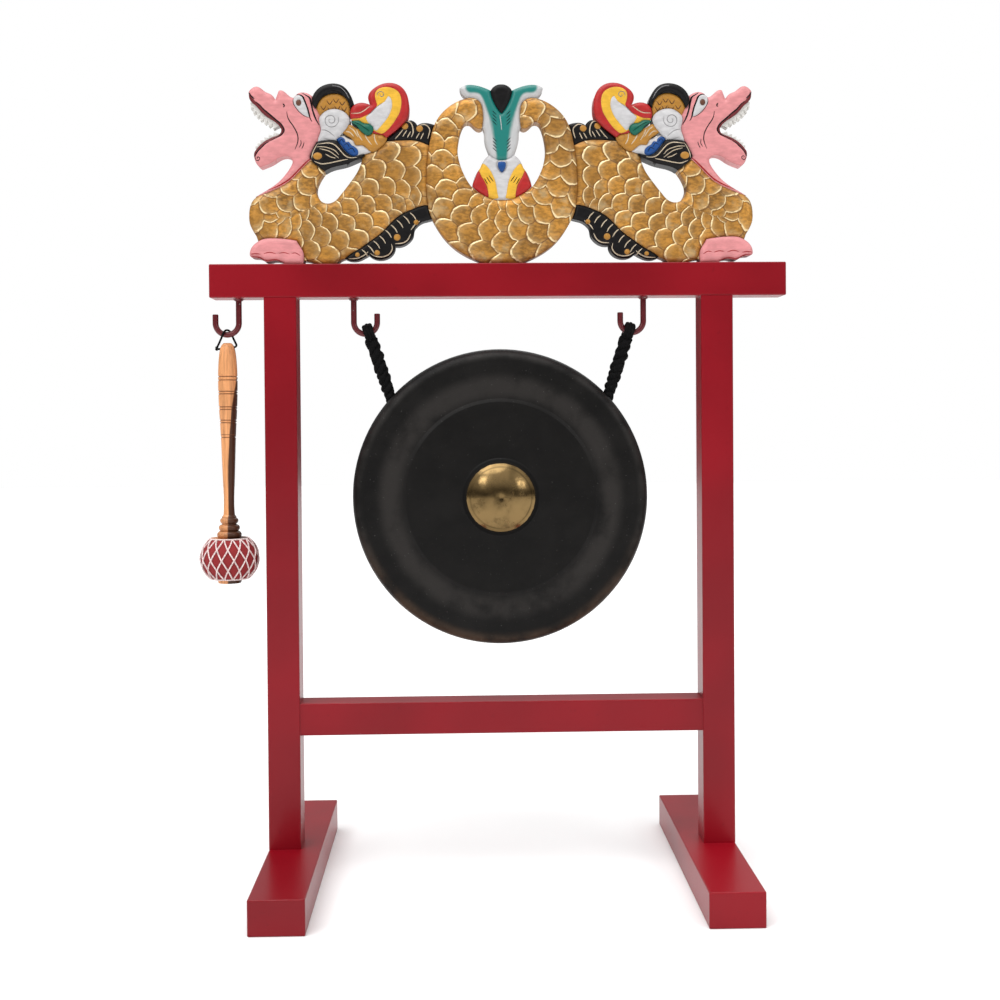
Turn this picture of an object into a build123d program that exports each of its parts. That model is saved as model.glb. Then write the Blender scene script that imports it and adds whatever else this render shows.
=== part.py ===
"""A tam tam gong in a red timber stand, with a carved dragon crest and a hanging beater.

Millimetres, +Z up, +Y to the back. The stand rests on z = 0. The beater overhangs the -X end
of the beam, so the frame's mid-plane stands a little to +X and the whole part centres on x = 0.
"""

import os
from math import cos, radians, sin, tan

from build123d import *

os.makedirs("parts", exist_ok=True)

# Frame timbers
mid_x = 9.0
timber_depth = 40.0
edge_round = 1.6
beam_length, beam_bottom, beam_top = 690.0, 700.0, 740.0
post_inner, post_width = 242.0, 38.5
foot_width, foot_height, foot_length = 62.5, 40.0, 380.0
rail_bottom, rail_height, rail_depth = 176.0, 38.5, 37.0
rail_middle = rail_bottom + rail_height / 2
post_centre = post_inner + post_width / 2
foot_centre = post_inner + post_width - foot_width / 2

# Joinery hidden in the timbers
dowel_radius, dowel_slack = 5.0, 0.1
dowel_reach = 28.0
post_dowel_y = 10.0
rail_dowel_reach, rail_dowel_rise = 17.0, 9.0
screw_y = 11.0
screw_radius, screw_head_radius, screw_head_height, screw_length = 2.4, 5.0, 3.0, 72.0
screw_sink, screw_point = 0.5, 7.0
screw_slot_width, screw_slot_depth = 1.0, 2.0
crest_pin_radius, crest_pin_reach = 4.0, 15.0

# Screw hooks
wire_radius, hook_radius = 3.5, 14.0
hook_centre_z, hook_tip_z = 671.0, 681.5
hook_thread_depth, hook_collar_radius, hook_collar_height = 22.0, 7.0, 2.6
gong_hook_reach = 161.0
beater_x = mid_x - 327.0

# Gong
gong_radius, gong_z, gong_sheet = 177.5, 460.0, 2.0
boss_radius, boss_rise, face_forward = 43.0, 16.0, 26.0
flat_zone_radius = 114.0
rim_round = 12.0
flange_back, flange_draw = 24.0, 5.0
cord_lean = 18.0
cord_radius, cord_slack = 6.5, 0.7
eye_inner, eye_strand, eye_drop = 4.4, 3.5, 0.4
knot_radius, knot_inset = 10.0, 13.6

# Beater
handle_top = 647.0
loop_hole_z, loop_hole_radius, loop_radius = 640.0, 2.0, 1.25
collar_top, head_top, head_bottom, handle_end = 437.0, 412.5, 363.7, 358.4
head_radius, core_radius, net_thickness = 34.2, 22.0, 1.2

# Carved crest: drawn from its own corner, x towards the tail coil and z above the beam
crest_x = mid_x + 4.5
dragon_reach = 304.5
coil_pin, claw_pin, body_pin = 12.0, 56.0, 96.0
crest_front = Plane(origin=(crest_x, 0, beam_top), x_dir=(1, 0, 0), z_dir=(0, -1, 0))
dragon_front = Plane(origin=(crest_x - dragon_reach, 0, beam_top), x_dir=(1, 0, 0), z_dir=(0, -1, 0))

sides = {"left": -1, "right": 1}


def save(part, name):
    """Label a finished piece and write it to its own file."""
    part.label = name
    export_step(part, f"parts/{name}.step")


# ---------------------------------------------------------------- timber frame
hook_xs = {
    "left_gong_hook": (mid_x - gong_hook_reach, 1),
    "right_gong_hook": (mid_x + gong_hook_reach, -1),
    "beater_hook": (beater_x, -1),
}
post_dowel_spots = [
    (mid_x + side * post_centre, y) for side in sides.values() for y in (-post_dowel_y, post_dowel_y)
]
crest_pin_reaches = (coil_pin, dragon_reach - body_pin, dragon_reach - claw_pin)
crest_pin_xs = [crest_x + side * reach for side in sides.values() for reach in crest_pin_reaches]

with BuildPart() as top_beam:
    with BuildSketch(Plane.XY.offset(beam_bottom)):
        with Locations((mid_x, 0)):
            Rectangle(beam_length, timber_depth)
    extrude(amount=beam_top - beam_bottom)
    fillet(top_beam.edges(), edge_round)
    with BuildSketch(Plane.XY.offset(beam_bottom)):
        with Locations(*post_dowel_spots):
            Circle(dowel_radius + dowel_slack)
    extrude(amount=dowel_reach + 1, mode=Mode.SUBTRACT)
    with BuildSketch(Plane.XY.offset(beam_bottom)):
        with Locations(*[(x - tip * hook_radius, 0) for x, tip in hook_xs.values()]):
            Circle(wire_radius + dowel_slack)
    extrude(amount=hook_thread_depth + 1, mode=Mode.SUBTRACT)
    with BuildSketch(Plane.XY.offset(beam_top)):
        with Locations(*[(x, 0) for x in crest_pin_xs]):
            Circle(crest_pin_radius + dowel_slack)
    extrude(amount=-crest_pin_reach - 1, mode=Mode.SUBTRACT)
save(top_beam.part, "top_beam")

for side_name, side in sides.items():
    post_x = mid_x + side * post_centre
    foot_x = mid_x + side * foot_centre
    rail_face = Plane(origin=(mid_x + side * post_inner, 0, rail_middle), x_dir=(0, 1, 0),
                      z_dir=(side, 0, 0))
    with BuildPart() as post:
        with BuildSketch(Plane.XY.offset(foot_height)):
            with Locations((post_x, 0)):
                Rectangle(post_width, timber_depth)
        extrude(amount=beam_bottom - foot_height)
        fillet(post.edges().filter_by(Axis.Z), edge_round)
        with BuildSketch(Plane.XY.offset(beam_bottom)):
            with Locations((post_x, -post_dowel_y), (post_x, post_dowel_y)):
                Circle(dowel_radius + dowel_slack)
        extrude(amount=-dowel_reach - 1, mode=Mode.SUBTRACT)
        with BuildSketch(rail_face):
            with Locations((0, -rail_dowel_rise), (0, rail_dowel_rise)):
                Circle(dowel_radius + dowel_slack)
        extrude(amount=rail_dowel_reach + 1, mode=Mode.SUBTRACT)
        with BuildSketch(Plane.XY.offset(foot_height)):
            with Locations((post_x, -screw_y), (post_x, screw_y)):
                Circle(screw_radius + dowel_slack)
        extrude(amount=screw_length - foot_height + 2, mode=Mode.SUBTRACT)
    save(post.part, f"{side_name}_post")

    with BuildPart() as foot:
        with BuildSketch():
            with Locations((foot_x, 0)):
                Rectangle(foot_width, foot_length)
        extrude(amount=foot_height)
        fillet(foot.edges(), edge_round)
        with Locations(Plane(origin=(post_x, 0, 0), z_dir=(0, 0, -1))):
            with Locations((0, -screw_y), (0, screw_y)):
                CounterSinkHole(screw_radius + 2 * dowel_slack, screw_head_radius + dowel_slack)
    save(foot.part, f"{side_name}_foot")

with BuildPart() as lower_rail:
    with BuildSketch(Plane.XY.offset(rail_bottom)):
        with Locations((mid_x, 0)):
            Rectangle(2 * post_inner, rail_depth)
    extrude(amount=rail_height)
    fillet(lower_rail.edges().filter_by(Axis.X), edge_round)
    for side in sides.values():
        rail_end = Plane(origin=(mid_x + side * post_inner, 0, rail_middle), x_dir=(0, 1, 0),
                         z_dir=(-side, 0, 0))
        with BuildSketch(rail_end):
            with Locations((0, -rail_dowel_rise), (0, rail_dowel_rise)):
                Circle(dowel_radius + dowel_slack)
        extrude(amount=dowel_reach + 1, mode=Mode.SUBTRACT)
save(lower_rail.part, "lower_rail")

with BuildPart() as post_dowels:
    with BuildSketch(Plane.XY.offset(beam_bottom)):
        with Locations(*post_dowel_spots):
            Circle(dowel_radius)
    extrude(amount=dowel_reach, both=True)
    chamfer(post_dowels.edges().filter_by(GeomType.CIRCLE), 0.8)
save(post_dowels.part, "post_dowels")

with BuildPart() as rail_dowels:
    for side in sides.values():
        rail_end = Plane(origin=(mid_x + side * (post_inner + rail_dowel_reach), 0, rail_middle),
                         x_dir=(0, 1, 0), z_dir=(-side, 0, 0))
        with BuildSketch(rail_end):
            with Locations((0, -rail_dowel_rise), (0, rail_dowel_rise)):
                Circle(dowel_radius)
        extrude(amount=rail_dowel_reach + dowel_reach)
    chamfer(rail_dowels.edges().filter_by(GeomType.CIRCLE), 0.8)
save(rail_dowels.part, "rail_dowels")

with BuildPart() as crest_pins:
    with BuildSketch(Plane.XY.offset(beam_top)):
        with Locations(*[(x, 0) for x in crest_pin_xs]):
            Circle(crest_pin_radius)
    extrude(amount=crest_pin_reach, both=True)
    chamfer(crest_pins.edges().filter_by(GeomType.CIRCLE), 0.7)
save(crest_pins.part, "crest_pins")

foot_screw_spots = [
    (mid_x + side * post_centre, y) for side in sides.values() for y in (-screw_y, screw_y)
]
with BuildPart() as one_screw:
    with BuildSketch(Plane.XZ):
        with BuildLine():
            Polyline((0, screw_sink), (screw_head_radius - screw_sink, screw_sink),
                     (screw_radius, screw_head_height), (screw_radius, screw_length - screw_point),
                     (0, screw_length), close=True)
        make_face()
    revolve(axis=Axis.Z)
    with BuildSketch():
        Rectangle(screw_head_radius, screw_slot_width)
        Rectangle(screw_slot_width, screw_head_radius)
    extrude(amount=screw_slot_depth, mode=Mode.SUBTRACT)
with BuildPart() as foot_screws:
    for spot in foot_screw_spots:
        add(one_screw.part.moved(Location((*spot, 0))))
save(foot_screws.part, "foot_screws")

# ---------------------------------------------------------------- screw hooks
for hook_name, (hook_x, tip) in hook_xs.items():
    hook_front = Plane(origin=(hook_x, 0, 0), x_dir=(1, 0, 0), z_dir=(0, -1, 0))
    with BuildPart() as hook:
        with BuildLine(hook_front) as wire:
            Line((-tip * hook_radius, beam_bottom + hook_thread_depth), (-tip * hook_radius, hook_centre_z))
            ThreePointArc((-tip * hook_radius, hook_centre_z), (0, hook_centre_z - hook_radius),
                          (tip * hook_radius, hook_centre_z))
            Line((tip * hook_radius, hook_centre_z), (tip * hook_radius, hook_tip_z))
        with BuildSketch(Plane(origin=wire.line @ 0, z_dir=wire.line % 0)):
            Circle(wire_radius)
        sweep()
        fillet(hook.edges().filter_by(GeomType.CIRCLE).sort_by_distance(wire.line @ 1)[0:1], 0.8)
        with BuildSketch(Plane.XY.offset(beam_bottom)):
            with Locations((hook_x - tip * hook_radius, 0)):
                Circle(hook_collar_radius)
        extrude(amount=-hook_collar_height, taper=40)
    save(hook.part, hook_name)

# ---------------------------------------------------------------- gong and its cords
lean = radians(cord_lean)

# Local x is the radius from the gong's axis, and local y is the height towards the front
gong_section = Plane(origin=(mid_x, 0, gong_z), x_dir=(0, 0, 1), z_dir=(1, 0, 0))
boss_top = face_forward + boss_rise
rim_start = gong_radius - rim_round - 1.5


def gong_surface(skin):
    """The gong's face, shoulder, rim and flange at a depth below its front surface."""
    face = face_forward - skin
    return [
        [(0, boss_top - skin), (boss_radius * 0.55, boss_top - 2.6 - skin),
         (boss_radius - skin * 0.7, face + 2.5)],
        [(boss_radius - skin * 0.7, face + 2.5), (boss_radius + 4, face)],
        [(boss_radius + 4, face), (flat_zone_radius, face)],
        [(flat_zone_radius, face), (flat_zone_radius + 4, face - 1.6)],
        [(flat_zone_radius + 4, face - 1.6), (rim_start, face - 4.5)],
        [(rim_start, face - 4.5), (gong_radius - 3.4 - skin * 0.8, face - 9.4),
         (gong_radius - skin, face_forward - 18)],
        [(gong_radius - skin, face_forward - 18), (gong_radius - flange_draw - skin, -flange_back)],
    ]


def cord_line(side):
    """A gong cord's seat on its hook, its direction down to the rim and how far off the rim is."""
    down = Vector(-side * sin(lean), 0, -cos(lean))
    seat = Vector(mid_x + side * gong_hook_reach, 0, hook_centre_z) + down * hook_radius
    from_axis = seat - Vector(mid_x, 0, gong_z)
    wall = gong_radius - 1.2
    along = from_axis.dot(down)
    reach = -along - (along**2 - from_axis.length**2 + wall**2) ** 0.5
    return seat, down, reach


with BuildPart() as gong:
    with BuildSketch(gong_section):
        with BuildLine():
            for surface in (gong_surface(0), gong_surface(gong_sheet)):
                for points in surface:
                    if len(points) == 2:
                        Line(*points)
                    else:
                        ThreePointArc(*points)
            Line((0, boss_top), (0, boss_top - gong_sheet))
            Line((gong_radius - flange_draw, -flange_back),
                 (gong_radius - flange_draw - gong_sheet, -flange_back))
        make_face()
    revolve(axis=Axis((mid_x, 0, gong_z), (0, 1, 0)))
    for side in sides.values():
        seat, down, reach = cord_line(side)
        with BuildSketch(Plane(origin=seat + down * (reach - 14), z_dir=down)):
            Circle(cord_radius + cord_slack)
        extrude(amount=30, mode=Mode.SUBTRACT)
save(gong.part, "gong")

for side_name, side in sides.items():
    seat, down, reach = cord_line(side)
    knot_centre = reach + knot_inset
    knot_face = (knot_radius**2 - cord_radius**2) ** 0.5
    eye_centre = seat + down * eye_drop
    eye_radius = eye_inner + eye_strand
    across = Vector(down.Z * -1, 0, down.X)
    with BuildPart() as gong_cord:
        with BuildSketch(Plane(origin=seat + down * (eye_drop + eye_radius), z_dir=down)):
            Circle(cord_radius)
        extrude(amount=knot_centre - knot_face - eye_drop - eye_radius)
        with BuildSketch(Plane(origin=eye_centre, x_dir=(0, 1, 0), z_dir=down)):
            with Locations((eye_radius, 0)):
                Circle(eye_strand)
        revolve(axis=Axis(eye_centre, across))
        with BuildSketch(Plane(origin=eye_centre, x_dir=(0, 1, 0), z_dir=across)):
            Circle(eye_inner)
        extrude(amount=eye_strand * 3, both=True, mode=Mode.SUBTRACT)
    save(gong_cord.part, f"{side_name}_gong_cord")
    with BuildPart() as cord_knot:
        with BuildSketch(Plane(origin=seat + down * knot_centre, x_dir=down, z_dir=(0, 1, 0))):
            with BuildLine():
                ThreePointArc((-knot_face, cord_radius), (0, knot_radius), (knot_radius, 0))
                Polyline((knot_radius, 0), (-knot_face, 0), (-knot_face, cord_radius))
            make_face()
        revolve(axis=Axis(seat + down * knot_centre, down))
    save(cord_knot.part, f"{side_name}_cord_knot")

# ---------------------------------------------------------------- beater
# Half of the turned handle: radius from its axis and height
handle_profile = [(4.6, handle_top), (7.6, 643.4), (9.2, 638), (10.8, 624), (11.5, 603), (11.3, 585),
                  (10.6, 566), (9.4, 545), (8.2, 515), (7.0, 480), (6.4, 448), (6.8, 440.5)]
groove_pairs = [(606.8, 602.6), (589.0, 586.0), (570.4, 567.4), (554.4, 551.4), (537.0, 533.8)]
groove_radius = 0.75
collar_rings = [(437.0, 429.6, 10.9), (428.2, 421.2, 12.6), (419.8, 412.9, 14.6)]
neck_radius, ring_root = 8.6, 6.6


def handle_radius(height):
    """The handle's radius at a height, between the profile's points."""
    for (upper_radius, upper), (lower_radius, lower) in zip(handle_profile, handle_profile[1:]):
        if lower <= height <= upper:
            return lower_radius + (upper_radius - lower_radius) * (height - lower) / (upper - lower)
    raise ValueError(f"no handle at height {height}")


with BuildPart() as beater_handle:
    with BuildSketch(Plane(origin=(beater_x, 0, 0), x_dir=(1, 0, 0), z_dir=(0, -1, 0))):
        with BuildLine():
            Line((0, handle_top), handle_profile[0])
            Spline(*handle_profile)
            Polyline(handle_profile[-1], (neck_radius, collar_top + 1), (neck_radius, head_top),
                     (core_radius, head_top), (core_radius, head_bottom), (14.8, head_bottom),
                     (13.6, handle_end), (0, handle_end), (0, handle_top))
        make_face()
        for ring_top, ring_bottom, ring_radius in collar_rings:
            with BuildLine():
                ThreePointArc((ring_root, ring_top), (ring_radius, (ring_top + ring_bottom) / 2),
                              (ring_root, ring_bottom))
                Line((ring_root, ring_bottom), (ring_root, ring_top))
            make_face()
    revolve(axis=Axis((beater_x, 0, 0), (0, 0, 1)))
    for groove_z in [z for pair in groove_pairs for z in pair]:
        with BuildSketch(Plane(origin=(beater_x, 0, 0), x_dir=(1, 0, 0), z_dir=(0, -1, 0))):
            with Locations((handle_radius(groove_z), groove_z)):
                Circle(groove_radius)
        revolve(axis=Axis((beater_x, 0, 0), (0, 0, 1)), mode=Mode.SUBTRACT)
    with BuildSketch(Plane(origin=(beater_x, 0, loop_hole_z), z_dir=(1, 0, 0))):
        Circle(loop_hole_radius)
    extrude(amount=handle_profile[4][0] + 2, both=True, mode=Mode.SUBTRACT)
save(beater_handle.part, "beater_handle")

head_mid = (head_top + head_bottom) / 2
head_half = (head_top - head_bottom) / 2
for shell_name, outer_skin in (("beater_pad", 0.0), ("beater_net", net_thickness)):
    with BuildPart() as shell:
        with BuildSketch(Plane(origin=(beater_x, 0, head_mid), x_dir=(1, 0, 0), z_dir=(0, -1, 0))):
            with BuildLine():
                ThreePointArc((core_radius, head_half), (head_radius + outer_skin, 0),
                              (core_radius, -head_half))
                if outer_skin:
                    ThreePointArc((core_radius, head_half), (head_radius, 0), (core_radius, -head_half))
                else:
                    Line((core_radius, -head_half), (core_radius, head_half))
            make_face()
        revolve(axis=Axis((beater_x, 0, 0), (0, 0, 1)))
    save(shell.part, shell_name)

# The hanging loop: from its knot through the handle, up behind the hook's wire, over it and back
loop_seat = 5.6
loop_route = [
    (beater_x - 12.6, 0, loop_hole_z),
    (beater_x + 13.4, 0, loop_hole_z),
    (beater_x + 6.6, loop_seat, 651.6),
    (beater_x + 2.6, loop_seat, 662.6),
    (beater_x - 2.6, -loop_seat, 662.6),
    (beater_x - 6.6, -loop_seat, 651.6),
    (beater_x - 12.6, -0.2, 641.6),
]


def bend_radii(route):
    """The largest arc that each corner's two runs allow, 0.45 of the shorter run."""
    corners = [Vector(*point) for point in route]
    radii = []
    for before, corner, after in zip(corners, corners[1:], corners[2:]):
        half_turn = radians((corner - before).get_angle(after - corner)) / 2
        shorter = min((corner - before).length, (after - corner).length)
        radii.append(0.45 * shorter / tan(half_turn))
    return radii


loop_radii = bend_radii(loop_route)
with BuildPart() as beater_loop:
    with BuildLine() as loop_line:
        FilletPolyline(*loop_route, radius=loop_radii)
    with BuildSketch(Plane(origin=loop_line.line @ 0, z_dir=loop_line.line % 0)):
        Circle(loop_radius)
    sweep()
    with Locations((beater_x - 12.8, 0, loop_hole_z + 0.8)):
        Sphere(2.6)
save(beater_loop.part, "beater_loop")
print("loop radii", [round(radius, 1) for radius in loop_radii],
      "length", round(loop_line.wires()[0].length, 1), "volume", round(beater_loop.part.volume))

# ---------------------------------------------------------------- carved outlines
# Each run of points is one smooth curve, and it ends in a corner at the next run's first point.
head_outline = [
    [(2.7, 205.5), (6.2, 209.8), (12.3, 212.3), (17.7, 210), (23.1, 205.8), (28.5, 203.5), (32.5, 200)],
    [(34.5, 196.5)],
    [(38.6, 207.2), (41.5, 207.8), (48, 203.8)],
    [(56, 199)],
    [(59.6, 202.7), (66.9, 205.3), (73.1, 204), (80, 199.5)],
    [(92, 192)],
    [(98, 170)],
    [(96, 140)],
    [(80, 128), (74, 122.8), (65.4, 114.6), (58.5, 107), (52.9, 101.6), (47.1, 97.1),
     (37.1, 91.4), (25.7, 86.4)],
    [(10, 80.7), (18.6, 85.9), (30, 92.9), (38.6, 99.5), (47, 109), (52.9, 118), (54.3, 123.5),
     (51.5, 127.8), (46, 129.4), (37.7, 126.9), (30, 121.9), (20.8, 117.9)],
    [(16.2, 116.2), (12.3, 119.2), (9.6, 124.6), (8.5, 129.2)],
    [(9.2, 134.8), (15.4, 142.3), (20.8, 146.9), (26.9, 150.4), (33.1, 152.9), (39.2, 155.8), (41.2, 161),
     (37.7, 166.9), (31.5, 171.9), (24.6, 176.2), (18.5, 181.2), (10.8, 190), (5.8, 194.4)],
    [(3.3, 199.2)],
]
ear_arch_outline = [
    [(82.9, 185.7), (78.2, 196), (82, 205.2), (90, 212.1), (98.6, 215), (107.1, 215.2), (115.7, 212.1),
     (121.4, 206.4), (125.7, 198.6)],
    [(128.3, 190.6)],
    [(123.2, 186.6), (121.4, 193.6), (117.1, 199.3), (111.4, 202.9), (104.3, 204), (95.7, 202.1),
     (90, 198.6), (85.7, 192.9)],
]
cheek_puff_outline = [
    [(87.5, 176), (92.9, 181.5), (100, 184.7), (107.1, 185), (114.3, 182.8), (120, 178.6), (123, 173),
     (122, 167), (118, 160.5), (111.4, 152.9), (107, 145), (96, 140), (86, 143),
     (86, 152), (88.5, 160), (87, 169)],
]
ear_shell_outline = [
    [(83.2, 185.6)],
    [(87.6, 176.8), (105, 172)],
    [(122.3, 175.6)],
    [(123.4, 186.8), (119, 199), (104, 206.5), (90, 201)],
]
horn_outline = [
    [(125.6, 170.8), (123.8, 175), (123.6, 181), (125.8, 187.2), (130.5, 191),
     (137.3, 192.4), (144.2, 191.2)],
    [(148.1, 189.7), (145.8, 194.6), (145.4, 200), (147.6, 205), (153.5, 210.4),
     (160.4, 214.2), (168.8, 216),
     (178.1, 215), (186, 210.4), (190.8, 203.8), (193.4, 195.4), (193.8, 186),
     (192.6, 177.6), (189.3, 170.7),
     (184.2, 165), (176.5, 158.3)],
    [(166, 150.6), (160.4, 154.4), (153.5, 155.4), (148, 158), (140, 164), (133, 168)],
]
leaf_outline = [
    [(125.2, 170.2), (130, 171.2), (135.8, 170.4), (139.6, 168), (145, 167.3),
     (149.8, 164.6), (151.3, 160.8),
     (149, 155.6), (144.2, 153.3), (140, 155.4), (135, 160), (129.5, 166.2)],
]
neck_collar_outline = [
    [(114.8, 157), (119.6, 164.8), (123.5, 166.4), (128.1, 164)],
    [(136, 162)],
    [(150, 160)],
    [(166.4, 153.6), (167, 149.5), (164.6, 144.4), (161.4, 141), (156.5, 136.9), (151.9, 134.4)],
    [(147.6, 134.2), (142.7, 138.3), (136.5, 142), (129.6, 142.3), (128, 145.2),
     (124.2, 150.4), (118.1, 154.4)],
]
frill_outline = [
    [(106.6, 148.6), (110.4, 151.9), (114.2, 153.1), (118.8, 151), (125, 148.5), (134, 144.5), (142, 141)],
    [(148.6, 135.4)],
    [(147.8, 133.9), (138.8, 130.8), (133.5, 129.6), (128, 128.6), (124.5, 129.3),
     (120.4, 131.8), (115, 137.2),
     (111.2, 142.5)],
]
mane_outline = [
    [(83.5, 145.8), (90, 147), (97.7, 147.8), (104, 147.8), (112, 146), (120, 138), (130, 133)],
    [(140.4, 130.8)],
    [(139.8, 129), (135, 126.2), (128.1, 123.1), (118.1, 119.2), (105, 116.2)],
    [(92.9, 110.8), (88.5, 114.2), (82.3, 119), (77.7, 123.4)],
    [(75, 128.3), (78.5, 136.2)],
]
back_fin_outline = [
    [(165.2, 146.4), (168.8, 151.3), (176.5, 158), (183.5, 164.2), (190.4, 170.4),
     (195.4, 172.2), (199.8, 170.6)],
    [(203.6, 166), (206.5, 167.8), (210, 168.8), (215, 168.9), (222.9, 167.1)],
    [(230, 164)],
    [(228, 148)],
    [(219, 140.6), (211.4, 144.3), (202.7, 147.1), (187.3, 147.8), (175.8, 147.3)],
]
belly_fin_outline = [
    [(115.7, 7.1), (122.9, 12.9), (132.9, 18.6), (147.1, 28.6), (158.6, 37), (170, 48.6), (182.9, 59.4),
     (197.1, 66), (213, 70.5)],
    [(224, 68)],
    [(222, 54)],
    [(212, 51.5), (206, 49)],
    [(201.4, 45), (198.6, 40.5), (197.6, 34.3), (193, 27.4), (185.7, 22.6)],
    [(175.8, 21.6), (174.8, 16), (170.6, 10.2), (161.4, 6), (150, 7.2)],
    [(144.3, 11.2), (139, 8.2), (131, 4.8), (122, 4.6)],
]
claw_outline = [
    [(2.9, 13.5), (5, 20), (11.4, 26.4), (18, 29.8), (32.9, 31), (48, 29.8)],
    [(58.6, 27.9), (62.4, 21.4), (66.2, 14.3), (66.8, 6)],
    [(66, 0)],
    [(44, 0), (40, 3), (30, 4.2), (21.4, 3.4), (16.4, 6.6), (10, 8.2), (4.3, 9)],
]
body_outline = [
    [(84, 127)],
    [(73, 123.6), (64, 114.6), (53.5, 103.6), (47.5, 99), (37.5, 93.2), (26, 87.6), (14, 82.3), (7.6, 77.5),
     (3.6, 70), (2.1, 60), (3, 48.6), (6, 41.4)],
    [(10.5, 34)],
    [(14, 24)],
    [(40, 20)],
    [(58, 8)],
    [(66, 4.2), (75.7, 3), (84, 0.8)],
    [(88, 0)],
    [(104, 0)],
    [(111, 5), (118, 7.6), (128, 10.5), (146, 20), (162, 34), (180, 47), (200, 56)],
    [(226, 60)],
    [(226, 146)],
    [(206, 154), (190, 157), (178, 152)],
    [(160, 144)],
    [(148, 136)],
    [(138.8, 130), (135, 117.7), (131, 109.2), (125.7, 101.4), (117.1, 90), (111.4, 82.9), (105.7, 76.6),
     (100, 73.4), (94.3, 72.8), (88.6, 75), (84.3, 80.7), (82.1, 87.5), (83.6, 95.7), (87.1, 102.9)],
    [(92.9, 111.4)],
]

# Halves about the crest's mid-plane, from the lower end on the axis to the upper end
coil_half = [
    [(0, 0)],
    [(21, 0), (41, 8.5), (55, 17), (68, 29), (79, 44.5), (86.5, 60), (90, 80), (90.5, 100), (89.5, 120),
     (87, 140), (83.5, 157), (78, 171), (69, 182.5), (58, 191), (45, 196.8), (34, 197.8), (26, 193.5),
     (22.7, 184), (22.3, 172)],
    [(23.3, 162.6), (28.5, 161.3), (33.5, 164.5), (38.5, 168.8), (43.5, 168.6), (48, 162.5), (51.5, 150),
     (53, 136), (51.3, 123), (47, 110), (41.5, 99), (35.5, 91), (26, 84), (14, 78)],
    [(0, 76)],
]
plume_half = [
    [(0, 123.5), (7, 125)],
    [(14, 129.5), (17.8, 138.6), (20.5, 149), (21.6, 160.5)],
    [(27, 166)],
    [(28, 194)],
    [(34, 196), (40, 198), (47.5, 204)],
    [(50, 210), (43, 213.6), (33, 213.9), (24, 211.9), (16, 208.8)],
    [(10, 206)],
    [(0, 190)],
]
bud_half = [
    [(0, 180), (6, 188), (10.4, 197)],
    [(13, 206), (11, 209.6), (6, 213.3)],
    [(0, 214.4)],
]
drop_half = [
    [(0, 109.3), (4.4, 114)],
    [(5.6, 119), (4, 122.2)],
    [(0, 123)],
]
skirt_half = [
    [(0, 71)],
    [(40, 84)],
    [(35.6, 93.4), (33, 103)],
    [(28.6, 111)],
    [(26.2, 114), (23, 121), (19.4, 126.2)],
    [(14, 130)],
    [(0, 130)],
]


def lip_zigzag(lip, tips, count):
    """A row of pointed teeth between a jaw's lip and the line of their tips, as one outline."""
    def along(points, share):
        place = share * (len(points) - 1)
        low = min(int(place), len(points) - 2)
        part = place - low
        return tuple(a + (b - a) * part for a, b in zip(points[low], points[low + 1]))

    edge = []
    for step in range(2 * count + 1):
        share = step / (2 * count)
        length = 1.0 if step % 2 else 0.35
        near, far = along(lip, share), along(tips, share)
        edge.append([tuple(a + (b - a) * length for a, b in zip(near, far))])
    root_rise = 2 if tips[0][1] < lip[0][1] else -2
    inside = [[(lip[-1][0] + 6, lip[-1][1])], [(lip[0][0] + 6, lip[0][1] + root_rise)]]
    return edge + inside


upper_teeth_outline = lip_zigzag(
    [(5, 196), (12, 188.5), (20, 180), (28, 174), (37, 167.6)],
    [(3.4, 189), (8.5, 179.2), (16, 172.2), (24.6, 166.2), (34, 161)], 7)
lower_teeth_outline = lip_zigzag(
    [(11, 137.5), (18, 144.5), (27, 150.5), (38, 155.2)],
    [(8.8, 140), (13, 147.2), (23, 154), (35, 160)], 6)


def carved(plane, outlines, half_depth, cut_by=(), symmetric=False, less=None, pins=()):
    """One carved piece: outlines minus its neighbours' outlines, as thick as twice half_depth."""
    with BuildPart() as piece:
        with BuildSketch(plane):
            for shape in (*outlines, *cut_by):
                with BuildLine():
                    for run, following in zip(shape, shape[1:] + shape[:1]):
                        points = [*run, following[0]]
                        if len(shape) == 1:
                            Spline(*run, periodic=True)
                        elif len(points) == 2:
                            Line(*points)
                        else:
                            Spline(*points)
                make_face(mode=Mode.ADD if shape in outlines else Mode.SUBTRACT)
            if symmetric:
                mirror(about=Plane.YZ)
        extrude(amount=half_depth, both=True)
        if less:
            add(less, mode=Mode.SUBTRACT)
        if pins:
            with BuildSketch(Plane.XY.offset(beam_top)):
                with Locations(*[(x, 0) for x in pins]):
                    Circle(crest_pin_radius + dowel_slack)
            extrude(amount=crest_pin_reach + 1, mode=Mode.SUBTRACT)
    return piece


# ---------------------------------------------------------------- crest, centre
coil_pins = [crest_x - coil_pin, crest_x + coil_pin]
tail_coil = carved(crest_front, [coil_half], 16, symmetric=True, pins=coil_pins)
save(tail_coil.part, "tail_coil")
tail_plume = carved(crest_front, [plume_half], 12, [bud_half, coil_half, drop_half], symmetric=True)
save(tail_plume.part, "tail_plume")
plume_bud = carved(crest_front, [bud_half], 14, symmetric=True)
save(plume_bud.part, "plume_bud")
plume_drop = carved(crest_front, [drop_half], 14, symmetric=True)
save(plume_drop.part, "plume_drop")
petal_skirt = carved(crest_front, [skirt_half], 13, [plume_half, coil_half, drop_half], symmetric=True)
save(petal_skirt.part, "petal_skirt")

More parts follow.
